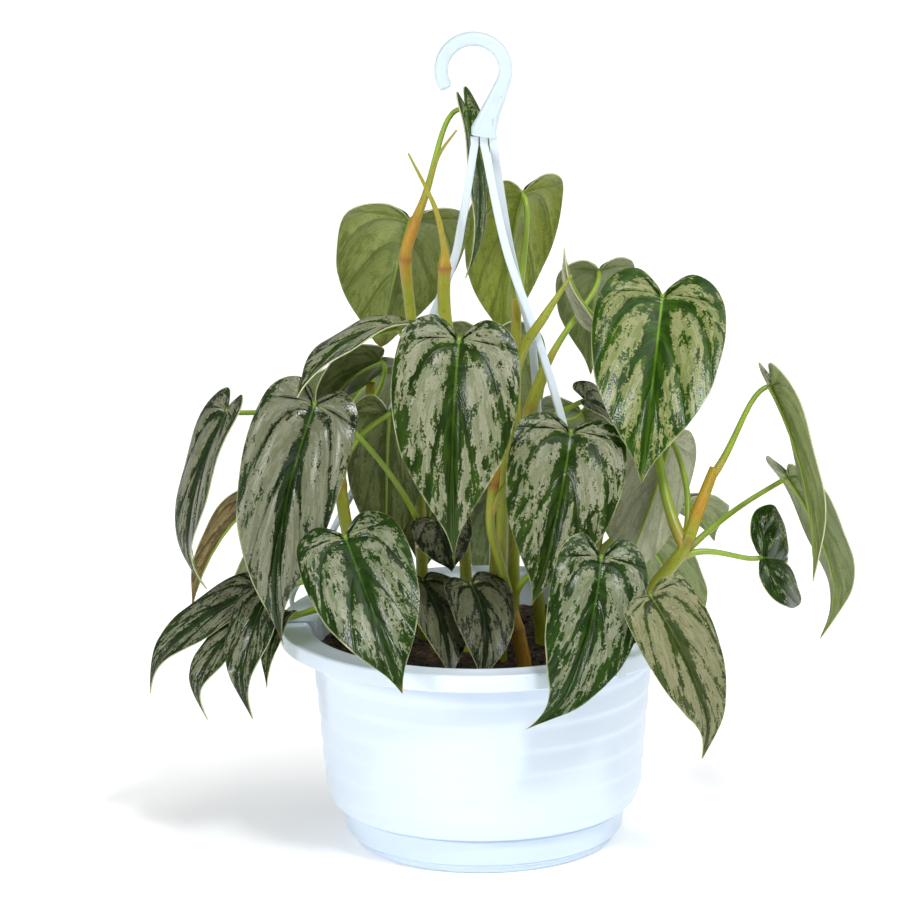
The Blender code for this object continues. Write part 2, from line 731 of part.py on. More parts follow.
def build_right_leaves():
    leaf = build_leaf
    leaf("leaf_far_right_high", (128, -8, 207), (146, -24, 122), 46, (1, 0.22, 0.1), "stem_right", 172)
    leaf(
        "leaf_far_right_low", (137, 28, 156), (162, 40, 83), 46, (0.9, 0.5, 0),
        "stem_right", 130, curl=(0, 12),
    )
    leaf(
        "leaf_far_right_small", (122, -30, 135), (134, 14, 117), 48, (0.95, -0.3, 0.33),
        "stem_right", 136,
    )
    leaf(
        "leaf_behind_right", (53, 24, 252), (50, 66, 195), 36, (-0.1, 0.8, 0.6),
        "stem_olive", 214, lobes=1.3,
    )
    leaf(
        "leaf_rolled_right", (55, 9, 230), (37, 4, 267), 11, (-0.6, -0.6, 0),
        "stem_right_back", 184, fold=50,
    )
    leaf("leaf_narrow_right", (46, -6, 201), (60, 14, 172), 26, (0.84, 0, 0.54), "stem_olive", 178)
    leaf(
        "leaf_grey_right", (84, 14, 176), (62, -28, 127), 44, (0.3, 0.9, 0.2),
        "stem_right", 138, "8E9284", fold=(62, 14),
    )
    leaf("leaf_low_right_back", (82, 30, 145), (106, 70, 116), 42, (0.2, 0.5, 0.8), "stem_right_back", 118)


def build_left_leaves():
    leaf = build_leaf
    leaf(
        "leaf_far_left", (-111, -4, 197), (-130, -14, 120), 37, (-0.9, -0.38, 0),
        "stem_left", 184, curl=(0, 9),
    )
    leaf(
        "leaf_dry_left", (-100, 22, 151), (-130, 24, 100), 20, (-0.5, 0.6, 0.6),
        "stem_left_back", 165, "8A7F5A", fold=35,
    )
    leaf(
        "leaf_trailing_left", (-99, -6, 116), (-152, -19, 79), 27, (-0.5, -0.5, 0.7),
        "stem_left", 113, curl=(0, 10), rise=1.5,
    )
    leaf(
        "leaf_trailing_mid", (-104, -22, 105), (-129, -36, 71), 22, (-0.6, -0.5, 0.5),
        "stem_left", 104, curl=(0, 12),
    )
    leaf(
        "leaf_trailing_right", (-93, -23, 121), (-107, -57, 77), 26, (-0.5, -0.8, 0.3),
        "stem_left", 132, curl=(0, 13),
    )
    leaf("leaf_small_left", (-85, -24, 111), (-95, -50, 84), 10, (-0.5, -0.8, 0.3), "stem_left", 110, lobes=0.2)
    leaf(
        "leaf_flat_left", (-36, -18, 238), (-80, -38, 212), 46, (-0.4, 0, 0.9),
        "stem_tall_left", 200,
    )
    leaf(
        "leaf_shaded_left", (-44, 14, 215), (-72, 8, 186), 40, (-0.4, 0.6, 0.7),
        "stem_left_back", 185, "4F5238",
    )
    leaf(
        "leaf_top_left", (-30, 32, 274), (-44, 82, 205), 59, (0, 0.75, 0.65),
        "stem_tall_left", 240, "7C8B5E", taper=0.6,
    )
    leaf(
        "leaf_top_edgewise", (-5, 20, 326), (-5, 24, 249), 24, (0.93, -0.37, 0),
        "stem_tall_left", 284,
    )
    leaf("leaf_inner_left", (-40, -9, 197), (-42, -12, 128), 38, (-0.1, 1, 0), "stem_left", 170, rise=1.5)
    leaf("leaf_inner_low", (-19, -14, 149), (-13, -24, 128), 27, (0.1, -1, 0.4), "stem_tall_right", 128)
    leaf("leaf_inner_centre", (-18, 26, 166), (-27, 36, 110), 38, (0, 1, 0.2), "stem_tall_right", 148)


def build_back_leaves():
    leaf = build_leaf
    leaf(
        "leaf_top_centre", (20, 48, 282), (12, 84, 206), 46, (-0.3, 0.8, 0.5),
        "stem_back_centre", 226, "8B9B4E", taper=0.8,
    )
    leaf("leaf_back_left", (-48, 50, 199), (-80, 90, 130), 52, (-0.4, 0.9, 0.3), "stem_left_back", 190)
    leaf("leaf_back_centre", (4, 78, 208), (2, 104, 124), 56, (0, 1, 0.2), "stem_back", 195)
    leaf("leaf_back_right", (46, 70, 176), (62, 100, 102), 50, (0.4, 0.9, 0.2), "stem_back", 160)
    leaf("leaf_back_low", (8, 84, 146), (4, 112, 78), 50, (0, 1, 0.2), "stem_back", 125)
    leaf("leaf_back_low_right", (74, 72, 117), (96, 98, 57), 40, (0.6, 0.8, 0.3), "stem_right_back", 106)
    leaf("leaf_back_low_left", (-80, 49, 129), (-113, 67, 69), 42, (-0.7, 0.6, 0.4), "stem_left_back", 110)


def main():
    clear_scene()
    build_pot()
    build_saucer()
    build_hook()
    build_strap(
        "hanger_strap_left", -1.2, [(-7, 2, 280), (-13, 3, 256), (-37, 4, 199), (-66, 2, 140)], -90.0
    )
    build_strap(
        "hanger_strap_front", 2.9, [(12, -9, 270), (25, -20, 233), (36, -31, 196), (50, -50, 136)], 41.0
    )
    build_strap(
        "hanger_strap_back", 7.0, [(13, 17, 270), (18, 28, 243), (24, 40, 211), (28, 68, 138)], 160.0
    )
    build_stems()
    feet = []
    for name, (x, y) in STEM_FEET.items():
        feet.append((x, y, stem_paths[name][1][0] + STEM_CLEARANCE))
    build_soil(feet)
    build_front_leaves()
    build_right_leaves()
    build_left_leaves()
    build_back_leaves()
    shade_round_pieces()


main()
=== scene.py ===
# Silver-leaf philodendron in a white hanging pot, standing on its drip saucer.
#
# The pot's axis is the Z axis, the saucer stands on Z = 0 and the camera looks along +Y.
# Lengths below are in millimetres, and MM turns them into metres.

import functools
import math
import random

import bpy
from mathutils import Matrix, Vector, noise


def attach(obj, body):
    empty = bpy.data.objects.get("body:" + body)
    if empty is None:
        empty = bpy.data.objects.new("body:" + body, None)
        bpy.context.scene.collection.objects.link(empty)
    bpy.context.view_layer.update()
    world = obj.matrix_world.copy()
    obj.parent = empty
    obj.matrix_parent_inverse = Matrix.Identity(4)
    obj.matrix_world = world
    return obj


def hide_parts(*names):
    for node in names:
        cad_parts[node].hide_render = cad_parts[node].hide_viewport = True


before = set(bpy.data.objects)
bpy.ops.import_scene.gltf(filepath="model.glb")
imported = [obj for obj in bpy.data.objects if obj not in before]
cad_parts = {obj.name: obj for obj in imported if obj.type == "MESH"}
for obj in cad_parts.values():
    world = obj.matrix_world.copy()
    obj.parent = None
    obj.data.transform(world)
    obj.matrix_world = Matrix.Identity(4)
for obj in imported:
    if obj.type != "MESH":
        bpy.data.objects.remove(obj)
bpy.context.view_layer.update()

# Pot
# A thin shell of white polypropylene, injection moulded in one piece: an overhanging flange with a
# skirt, a tapering wall with six shallow bands, a round shoulder, and a drained floor in a foot ring.

MM = 0.001
POT_SIDES = 160
POT_TOP = 100.0
FLANGE_RADIUS = 90.0
FLANGE_INNER_RADIUS = 78.0
SKIRT_BOTTOM = 92.5
BODY_TOP_RADIUS = 75.4
BODY_LOW_RADIUS = 69.2
BODY_LOW_Z = 25.0
BODY_FOOT_RADIUS = 61.6
BODY_FOOT_Z = 16.6
POT_WALL = 1.6
BAND_COUNT = 6
BAND_STEP = 0.7
FOOT_RING_RADIUS = 52.0
FOOT_RING_Z = 8.6
DRAIN_CIRCLE = 40.0
DRAIN_RADIUS = 4.0


def srgb(hex_colour):
    """A hex colour as the linear numbers that a shader reads."""
    channels = [int(hex_colour[i : i + 2], 16) / 255 for i in (0, 2, 4)]
    return [c / 12.92 if c <= 0.04045 else ((c + 0.055) / 1.055) ** 2.4 for c in channels] + [1.0]


def set_inputs(sockets, values):
    """Gives each input a number, a colour or another node's output."""
    for key, value in values.items():
        if isinstance(value, bpy.types.NodeSocket):
            sockets[key].id_data.links.new(value, sockets[key])
        else:
            sockets[key].default_value = value


def add_node(tree, kind, inputs=(), **settings):
    """Adds a shader node and gives back its outputs. Its inputs are given by place or by name."""
    made = tree.nodes.new("ShaderNode" + kind)
    for name, value in settings.items():
        setattr(made, name, value)
    set_inputs(made.inputs, inputs if isinstance(inputs, dict) else dict(enumerate(inputs)))
    return made.outputs


def new_material(name):
    """A new material, add_node for its own tree, and the inputs of its shader."""
    made = bpy.data.materials.new(name)
    made.use_nodes = True
    shader = made.node_tree.nodes["Principled BSDF"].inputs
    return made, functools.partial(add_node, made.node_tree), shader


def polypropylene(name, colour, shade):
    """Polypropylene, moulded: satin white, with an orange peel of about 2 mm and fine scuffs."""
    made, node, shader = new_material(name)
    place = node("TexCoord")["Object"]
    cloud = node("TexNoise", {"Vector": place, "Scale": 1 / (45 * MM), "Detail": 2.0})["Fac"]
    tint = node("Mix", {0: cloud, 6: srgb(colour), 7: srgb(shade)}, data_type="RGBA")[2]
    peel = node("TexNoise", {"Vector": place, "Scale": 1 / (2.2 * MM), "Detail": 3.0})["Fac"]
    tall = node("VectorMath", (place, (1.0, 1.0, 6.0)), operation="MULTIPLY")[0]
    size = {"Scale": 1 / (9 * MM), "Detail": 5.0, "Roughness": 0.7}
    scuff = node("TexNoise", {"Vector": tall, **size})["Fac"]
    gloss = node("MapRange", (scuff, 0.35, 0.75, 0.30, 0.46))[0]
    bump = node("Bump", {"Height": peel, "Strength": 0.12, "Distance": 0.15 * MM})[0]
    set_inputs(shader, {"Base Color": tint, "Roughness": gloss, "Normal": bump, "IOR": 1.49})
    set_inputs(shader, {"Subsurface Weight": 0.15, "Subsurface Radius": (0.004, 0.004, 0.005)})
    return made


def face_outward():
    """Turns all faces of the mesh in Edit Mode to the outside and goes back to Object Mode."""
    bpy.ops.mesh.select_all(action="SELECT")
    bpy.ops.mesh.normals_make_consistent(inside=False)
    bpy.ops.object.mode_set(mode="OBJECT")


def lathe(name, outline, sides):
    """Turns an outline of (radius, height) about the Z axis and closes it at both ends."""
    radius, height = outline[0]
    bpy.ops.mesh.primitive_circle_add(vertices=sides, radius=radius * MM, fill_type="NGON")
    piece = bpy.context.object
    piece.name = name
    piece.location.z = height * MM
    bpy.ops.object.transform_apply()
    bpy.ops.object.mode_set(mode="EDIT")
    for wide, high in outline[1:]:
        step = (0, 0, (high - height) * MM)
        bpy.ops.mesh.extrude_region_move(TRANSFORM_OT_translate={"value": step})
        ratio = wide / radius
        bpy.ops.transform.resize(value=(ratio, ratio, 1), center_override=(0, 0, high * MM))
        radius, height = wide, high
    face_outward()
    return piece


def dress(piece, materials, nodes, angle=35.0):
    """Finishes a piece: more materials, smooth shading, and the solids whose place it takes."""
    for item in materials:
        piece.data.materials.append(item)
    bpy.ops.object.select_all(action="DESELECT")
    piece.select_set(True)
    bpy.context.view_layer.objects.active = piece
    bpy.ops.object.shade_smooth_by_angle(angle=math.radians(angle))
    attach(piece, "root")
    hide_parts(*nodes)


def cut_holes(piece, places, radius, low, high):
    """Drills upright round holes of one size at places (x, y)."""
    for x, y in places:
        middle = (x * MM, y * MM, (low + high) / 2 * MM)
        depth = (high - low) * MM
        bpy.ops.mesh.primitive_cylinder_add(vertices=20, radius=radius * MM, depth=depth, location=middle)
        drill = bpy.context.object
        bpy.context.view_layer.objects.active = piece
        modifier = piece.modifiers.new("drill", "BOOLEAN")
        modifier.object = drill
        modifier.operation = "DIFFERENCE"
        bpy.ops.object.modifier_apply(modifier=modifier.name)
        bpy.data.objects.remove(drill)


def wall_radius(z):
    share = (z - BODY_LOW_Z) / (SKIRT_BOTTOM - BODY_LOW_Z)
    return BODY_LOW_RADIUS + share * (BODY_TOP_RADIUS - BODY_LOW_RADIUS)


floor_top = BODY_FOOT_Z + POT_WALL
pot_outline = [(2.0, floor_top), (BODY_FOOT_RADIUS - 2.5, floor_top), (BODY_FOOT_RADIUS, floor_top + 1.2)]
pot_outline += [(BODY_LOW_RADIUS - POT_WALL, BODY_LOW_Z + 1.0), (wall_radius(90) - POT_WALL, 90.0)]
pot_outline += [(FLANGE_INNER_RADIUS - 2.2, 97.0), (FLANGE_INNER_RADIUS - 0.9, 99.2)]
pot_outline += [(FLANGE_INNER_RADIUS, 99.8), (FLANGE_INNER_RADIUS + 1.2, POT_TOP)]
pot_outline += [(FLANGE_INNER_RADIUS + 2.2, 99.75), (FLANGE_RADIUS - 2.6, 99.75)]
pot_outline.append((FLANGE_RADIUS - 1.6, 99.9))
for step in range(6):
    turn = math.radians(18 * step)
    pot_outline.append((FLANGE_RADIUS - 1.2 + 1.2 * math.sin(turn), POT_TOP - 1.3 + 1.2 * math.cos(turn)))
pot_outline += [(FLANGE_RADIUS, SKIRT_BOTTOM + 0.4), (FLANGE_RADIUS - 0.4, SKIRT_BOTTOM)]
pot_outline += [(FLANGE_RADIUS - POT_WALL, SKIRT_BOTTOM), (FLANGE_RADIUS - POT_WALL, 98.0)]
pot_outline += [(wall_radius(98) + 1.4, 98.0), (wall_radius(97) + 0.4, 97.0), (wall_radius(94), 94.0)]
band_height = (SKIRT_BOTTOM - BODY_LOW_Z) / BAND_COUNT
for band in range(BAND_COUNT):
    top = SKIRT_BOTTOM - band * band_height
    for share in (0.06, 0.2, 0.38, 0.56, 0.74, 0.86, 0.93):
        height = top - share * band_height
        bulge = math.sin(math.pi / 2 * share / 0.86) if share < 0.9 else 0.6
        pot_outline.append((wall_radius(height) + BAND_STEP * bulge, height))
for step in range(8):
    turn = math.radians(90 / 7 * step)
    across = BODY_FOOT_RADIUS + (BODY_LOW_RADIUS - BODY_FOOT_RADIUS) * math.cos(turn)
    pot_outline.append((across, BODY_LOW_Z - (BODY_LOW_Z - BODY_FOOT_Z) * math.sin(turn)))
pot_outline += [(FOOT_RING_RADIUS, BODY_FOOT_Z), (FOOT_RING_RADIUS, FOOT_RING_Z)]
pot_outline += [(FOOT_RING_RADIUS - POT_WALL, FOOT_RING_Z), (FOOT_RING_RADIUS - POT_WALL, BODY_FOOT_Z)]
pot_outline.append((2.0, BODY_FOOT_Z))
pot = lathe("pot_shell", pot_outline, POT_SIDES)
drains = []
for k in range(6):
    turn = math.radians(60 * k)
    drains.append((DRAIN_CIRCLE * math.cos(turn), DRAIN_CIRCLE * math.sin(turn)))
cut_holes(pot, drains, DRAIN_RADIUS, BODY_FOOT_Z - 3, floor_top + 3)
dress(pot, [polypropylene("white_polypropylene", "DCE8F5", "D5E3F3")], ["pot"])

# Drip saucer
# A shallow bowl of the same polypropylene, clipped over the foot of the pot. Its colour is a little darker
# and bluer than the pot's: painted shade under the pot's overhanging foot. Its side has a fine line where
# the two halves of the mould met.

SAUCER_TOP_RADIUS = 62.6
SAUCER_TOP_Z = 16.3
SAUCER_BASE_RADIUS = 58.0
SAUCER_FLAT_RADIUS = 55.0
SAUCER_WALL = 1.6
MOULD_LINE_Z = 4.4

saucer_outline = [(2.0, 0.0), (SAUCER_FLAT_RADIUS, 0.0)]
for step in range(1, 6):
    turn = math.radians(18 * step)
    saucer_outline.append((SAUCER_FLAT_RADIUS + 3.0 * math.sin(turn), 3.0 - 3.0 * math.cos(turn)))
saucer_outline += [(SAUCER_BASE_RADIUS + 1.5, MOULD_LINE_Z - 0.3)]
saucer_outline += [(SAUCER_BASE_RADIUS + 1.3, MOULD_LINE_Z)]
saucer_outline += [(SAUCER_BASE_RADIUS + 2.0, MOULD_LINE_Z + 0.4), (SAUCER_TOP_RADIUS - 1.2, 6.4)]
saucer_outline += [(SAUCER_TOP_RADIUS - 0.2, 14.6), (SAUCER_TOP_RADIUS, 15.6)]
saucer_outline += [(SAUCER_TOP_RADIUS - 0.4, SAUCER_TOP_Z), (SAUCER_TOP_RADIUS - 1.0, SAUCER_TOP_Z)]
saucer_outline += [(SAUCER_TOP_RADIUS - SAUCER_WALL, 15.4)]
saucer_outline += [(SAUCER_BASE_RADIUS - SAUCER_WALL, 5.0), (FOOT_RING_RADIUS + 2.0, 2.4)]
saucer_outline += [(FOOT_RING_RADIUS + 0.8, 8.3), (FOOT_RING_RADIUS - 3.0, 8.3)]
saucer_outline += [(FOOT_RING_RADIUS - 4.0, 2.4), (2.0, 2.4)]
saucer = lathe("saucer_bowl", saucer_outline, POT_SIDES)
# The saucer's copy of the plastic is a little darker and bluer than the pot's: painted shade under the
# pot's foot.
saucer_plastic_painted_shade = polypropylene("white_polypropylene_painted_shade", "D6E5F3", "CFE0F1")
dress(saucer, [saucer_plastic_painted_shade], ["drip_saucer"])

# Potting mix
# Damp peat with bark crumbs, filled by hand to 12 mm below the rim. It is rough on top, dark and
# matt, with a few paler fibres.

SOIL_TOP = 88.0
SOIL_RADIUS = 73.6
CRUMB_COUNT = 420

draw = random.Random(5)


def join_pieces(pieces):
    """Joins the pieces into the first of them."""
    bpy.ops.object.select_all(action="DESELECT")
    for item in pieces:
        item.select_set(True)
    bpy.context.view_layer.objects.active = pieces[0]
    bpy.ops.object.join()
    return pieces[0]


def potting_mix():
    """Peat and bark, damp: nearly black, in crumbs of about 2 mm, with brown specks."""
    made, node, shader = new_material("peat_and_bark")
    place = node("TexCoord")["Object"]
    lump = node("TexNoise", {"Vector": place, "Scale": 1 / (5 * MM), "Detail": 6.0})["Fac"]
    dark = node("Mix", {0: lump, 6: srgb("17110D"), 7: srgb("3A2A1F")}, data_type="RGBA")[2]
    crumb = node("TexVoronoi", {"Vector": place, "Scale": 1 / (1.8 * MM)})["Color"]
    chance = node("SeparateColor", (crumb,))[0]
    speck = node("MapRange", (chance, 0.82, 0.9, 0.0, 0.75))[0]
    tint = node("Mix", {0: speck, 6: dark, 7: srgb("6E4A2E")}, data_type="RGBA")[2]
    grit = node("TexNoise", {"Vector": place, "Scale": 1 / (0.8 * MM), "Detail": 4.0})["Fac"]
    bump = node("Bump", {"Height": grit, "Strength": 0.8, "Distance": 0.6 * MM})[0]
    gloss = node("MapRange", (lump, 0.3, 0.7, 0.72, 0.95))[0]
    set_inputs(shader, {"Base Color": tint, "Roughness": gloss, "Normal": bump})
    return made


bpy.ops.mesh.primitive_grid_add(x_subdivisions=96, y_subdivisions=96, size=2.0)
soil = bpy.context.object
soil.name = "potting_mix"
for vertex in soil.data.vertices:
    u, v = vertex.co.x, vertex.co.y
    x = SOIL_RADIUS * u * math.sqrt(1 - v * v / 2)
    y = SOIL_RADIUS * v * math.sqrt(1 - u * u / 2)
    lump = 1.5 * noise.noise((x / 11, y / 11, 0.3)) + 0.9 * noise.noise((x / 3.6, y / 3.6, 4.1))
    vertex.co = Vector((x, y, SOIL_TOP - 1.2 + lump)) * MM
bpy.ops.object.mode_set(mode="EDIT")
bpy.ops.mesh.select_all(action="SELECT")
bpy.ops.mesh.region_to_loop()
for depth, ratio in ((25.0, 0.965), (34.0, 0.95), (8.0, 0.9)):
    bpy.ops.mesh.extrude_region_move(TRANSFORM_OT_translate={"value": (0, 0, -depth * MM)})
    bpy.ops.transform.resize(value=(ratio, ratio, 1), center_override=(0, 0, 0))
bpy.ops.mesh.edge_face_add()
face_outward()
bpy.ops.mesh.primitive_ico_sphere_add(subdivisions=2, radius=1.0)
crumb = bpy.context.object
for vertex in crumb.data.vertices:
    vertex.co *= 1.0 + 0.45 * noise.noise(vertex.co * 1.7)
crumbs = [soil]
for _ in range(CRUMB_COUNT):
    out = (SOIL_RADIUS - 4) * math.sqrt(draw.random())
    turn = draw.uniform(0, 2 * math.pi)
    size = draw.uniform(0.7, 2.4)
    place = Vector((out * math.cos(turn), out * math.sin(turn), SOIL_TOP - 0.8)) * MM
    lengths = [size * MM, size * draw.uniform(0.5, 1) * MM, size * draw.uniform(0.4, 0.8) * MM, 1]
    spin = Matrix.Rotation(draw.uniform(0, math.pi), 4, "Z")
    spin @= Matrix.Rotation(draw.uniform(-0.6, 0.6), 4, "X")
    copy = bpy.data.objects.new("crumb", crumb.data.copy())
    copy.data.transform(Matrix.Translation(place) @ spin @ Matrix.Diagonal(lengths))
    bpy.context.scene.collection.objects.link(copy)
    crumbs.append(copy)
bpy.data.objects.remove(crumb)
dress(join_pieces(crumbs), [potting_mix()], ["soil"], 50.0)

# Stems
# Eleven young climbing stems stand in the mix. They are round, smooth and a little fleshy, olive
# where they are green and orange-brown towards their nodes, where a ring or an old sheath is left.

STEM_FOOT_Z = 66.0
STEM_SIDES = 14
STEM_STEPS = 9
STEM_RING_HEIGHT = 1.6
STEM_RING_SWELL = 0.18
SMOOTH_ANGLE = 60.0

stem_paths = {}


def spline_place(points, i, t):
    """A place on the smooth line through the points, at a share t of the way on from point i."""
    guides = [2 * points[0] - points[1]] + points + [2 * points[-1] - points[-2]]
    a, b, c, d = guides[i : i + 4]
    square = 2 * a - 5 * b + 4 * c - d
    cube = 3 * b - a - 3 * c + d
    return 0.5 * (2 * b + (c - a) * t + square * t**2 + cube * t**3)


def smooth_line(points, steps):
    """A smooth line through the points, with a number of steps between each two."""
    line = [spline_place(points, i, k / steps) for i in range(len(points) - 1) for k in range(steps)]
    return line + [points[-1]]


def write_attribute(mesh, name, values):
    field = mesh.attributes.new(name, "FLOAT_VECTOR", "POINT")
    field.data.foreach_set("vector", [number for value in values for number in value])


def rolled_tube(name, line, ways, section, sides, attribute=None, values=()):
    """Rolls a grid round a line into a closed tube.

    A way is the across direction of a row. A section gives (across, deep) for a row and an
    angle, and the values are what the named attribute holds for each row.
    """
    rows = len(line) - 1
    bpy.ops.mesh.primitive_grid_add(x_subdivisions=sides, y_subdivisions=rows, size=2.0)
    tube = bpy.context.object
    tube.name = name
    places = []
    for i, (place, way) in enumerate(zip(line, ways)):
        tangent = (line[min(i + 1, rows)] - line[max(i - 1, 0)]).normalized()
        wide = (way - tangent * way.dot(tangent)).normalized()
        places.append((place, wide, tangent.cross(wide)))
    row_of = []
    for vertex in tube.data.vertices:
        row = round((vertex.co.y + 1) / 2 * rows)
        place, wide, deep = places[row]
        across, depth = section(row, math.pi * (vertex.co.x + 1))
        vertex.co = (place + wide * across + deep * depth) * MM
        row_of.append(row)
    if attribute:
        write_attribute(tube.data, attribute, [values[row] for row in row_of])
    bpy.ops.object.mode_set(mode="EDIT")
    bpy.ops.mesh.select_all(action="SELECT")
    bpy.ops.mesh.remove_doubles(threshold=0.001 * MM)
    bpy.ops.mesh.select_all(action="DESELECT")
    bpy.ops.mesh.select_non_manifold()
    bpy.ops.mesh.fill_holes(sides=0)
    face_outward()
    return tube


def round_section(radii):
    """The section of a round tube with a radius for each row."""

    def section(row, angle):
        return radii[row] * math.cos(angle), radii[row] * math.sin(angle)

    return section


def carried_ways(line, first):
    """The across direction of each row, carried along the line without twisting."""
    ways = []
    way = first
    for i in range(len(line)):
        tangent = (line[min(i + 1, len(line) - 1)] - line[max(i - 1, 0)]).normalized()
        way = (way - tangent * way.dot(tangent)).normalized()
        ways.append(way)
    return ways


def green_bark(name, young, old):
    """Young bark, smooth and fleshy: satin, with fibres 0.5 mm apart and a few brown flecks."""
    made, node, shader = new_material(name)
    place = node("TexCoord")["Object"]
    stem = node("Attribute", attribute_name="stem")["Vector"]
    ripeness, node_ring, _ = node("SeparateXYZ", (stem,))
    cloud = node("TexNoise", {"Vector": place, "Scale": 1 / (9 * MM), "Detail": 3.0})["Fac"]
    tone = node("Math", (cloud, 0.7, ripeness), operation="MULTIPLY_ADD")[0]
    ripe = node("MapRange", (tone, 0.55, 1.35), interpolation_type="SMOOTHSTEP")[0]
    skin = node("Mix", {0: ripe, 6: srgb(young), 7: srgb(old)}, data_type="RGBA")[2]
    upright = node("VectorMath", (place, (1.0, 1.0, 0.12)), operation="MULTIPLY")[0]
    fibre = node("TexNoise", {"Vector": upright, "Scale": 1 / (0.5 * MM), "Detail": 3.0})["Fac"]
    fibres = node("MapRange", (fibre, 0.35, 0.7, 0.0, 0.4))[0]
    lined = node("Mix", {0: fibres, 6: skin, 7: srgb("B5A552")}, data_type="RGBA")[2]
    fleck = node("TexNoise", {"Vector": place, "Scale": 1 / (1.6 * MM), "Detail": 2.0})["Fac"]
    flecks = node("MapRange", (fleck, 0.66, 0.72, 0.0, 0.6))[0]
    brown = node("Math", (flecks, node_ring), operation="MAXIMUM")[0]
    tint = node("Mix", {0: brown, 6: lined, 7: srgb("6B4526")}, data_type="RGBA")[2]
    bump = node("Bump", {"Height": fibre, "Strength": 0.3, "Distance": 0.2 * MM})[0]
    set_inputs(shader, {"Base Color": tint, "Roughness": 0.38, "Normal": bump})
    set_inputs(shader, {"Subsurface Weight": 0.1, "Subsurface Radius": (0.002, 0.001, 0.0005)})
    return made


bark = green_bark("young_bark", "86930F", "B07A06")


def build_stem(name, foot, points, radii, tones, nodes):
    """A stem from its foot through its points, with a ring at each node height."""
    x, y = foot
    route = [Vector((x, y, SOIL_TOP + 2.0))] + [Vector(point) for point in points]
    line = [Vector((x, y, STEM_FOOT_Z))] + smooth_line(route, STEM_STEPS)
    given = [radii[0]] + list(radii)
    shades = [tones[0]] + list(tones)
    thick = [radii[0]]
    values = [(tones[0], 0.0, 0.0)]
    for i in range(len(line) - 1):
        low = min(i // STEM_STEPS, len(given) - 2)
        share = i / STEM_STEPS - low
        radius = given[low] * (1 - share) + given[low + 1] * share
        tone = shades[low] * (1 - share) + shades[low + 1] * share
        steps = [(line[i + 1].z - z) / STEM_RING_HEIGHT for z in nodes]
        near = max(math.exp(-(step**2)) for step in steps)
        thick.append(radius * (1 + STEM_RING_SWELL * near))
        values.append((tone + 0.35 * near, 0.55 * near, 0.0))
    stem_paths[name] = (line, thick)
    ways = carried_ways(line, Vector((1.0, 0.0, 0.0)))
    vine = name.replace("stem", "vine")
    stem = rolled_tube(vine, line, ways, round_section(thick), STEM_SIDES, "stem", values)
    dress(stem, [bark], [name], SMOOTH_ANGLE)


build_stem(
    "stem_tall_left", (-26, 14),
    [(-27, 12, 150), (-28, 9, 205), (-30, 8, 237), (-32, 8, 262)]
    + [(-28, 8, 277), (-22, 6, 293), (-17, 3, 309), (-9, 0, 321)],
    [2.6, 2.3, 2.3, 2.7, 2.5, 1.3, 0.8, 0.4], [0.0, 0.0, 0.1, 0.75, 1.0, 0.25, 0.5, 0.5], [170, 262],
)
build_stem(
    "stem_tall_right", (-6, -6),
    [(-8, -7, 150), (-10, -7, 205), (-15, -6, 240), (-15, -6, 261)]
    + [(-15, -6, 270), (-19, -8, 289), (-30, -10, 313)],
    [2.6, 2.6, 2.9, 2.8, 1.5, 1.1, 0.4], [0.0, 0.1, 0.2, 0.55, 0.6, 0.5, 0.3], [160, 261],
)
build_stem(
    "stem_back_centre", (14, 36), [(15, 37, 150), (16, 38, 205), (17, 39, 236)],
    [2.8, 2.6, 2.0], [0.0, 0.2, 0.5], [180],
)
build_stem(
    "stem_olive", (26, 4), [(23, 1, 150), (21, 0, 188), (28, 0, 212), (30, 1, 219)],
    [2.6, 3.0, 2.6, 1.6], [0.0, 0.2, 0.2, 0.1], [150, 196],
)
build_stem(
    "stem_spear", (8, -22),
    [(9, -24, 150), (12, -25, 200), (18, -26, 227), (28, -29, 244), (40, -31, 263)],
    [2.6, 2.4, 2.4, 2.0, 0.5], [0.1, 0.2, 0.2, 0.15, 0.1], [140, 205],
)
build_stem(
    "stem_centre_front", (18, -32),
    [(15, -32, 104), (11, -32, 121), (7, -34, 138), (4, -38, 151)]
    + [(4, -40, 163), (6, -39, 176), (7, -38, 184)],
    [3.2, 2.4, 2.0, 2.0, 2.0, 2.3, 2.0], [1.1, 0.3, -0.2, -0.2, -0.1, 1.2, 1.1], [104, 172],
)
build_stem(
    "stem_right", (56, -20),
    [(64, -25, 104), (76, -32, 124), (88, -36, 141), (95, -31, 158), (102, -24, 174)],
    [3.0, 3.0, 2.8, 2.8, 2.2], [-0.2, -0.3, -0.1, 0.85, 0.6], [116, 144],
)
build_stem(
    "stem_right_back", (46, 24), [(52, 31, 130), (61, 39, 165), (64, 41, 188)],
    [2.8, 2.6, 2.0], [0.2, 0.3, 0.4], [140],
)
build_stem(
    "stem_left", (-48, -16), [(-55, -18, 125), (-61, -17, 160), (-62, -15, 188)],
    [2.8, 2.8, 2.0], [0.2, 0.3, 0.5], [130, 166],
)
build_stem(
    "stem_left_back", (-42, 26), [(-46, 27, 140), (-50, 27, 175), (-48, 25, 202)],
    [2.8, 2.6, 2.0], [0.3, 0.4, 0.5], [150],
)
build_stem(
    "stem_back", (6, 52), [(7, 55, 140), (9, 57, 190), (10, 57, 205)],
    [2.8, 2.6, 2.0], [0.2, 0.3, 0.4], [160],
)

# Leaves
# Thirty-seven leaves, each one heart-shaped blade on its own stalk. A blade is thin and leathery,
# folded a little along its midrib and quilted between its side veins. Above it is silver, broken by
# dark green along the midrib, the veins and the margin; below it is plain grey or olive green.

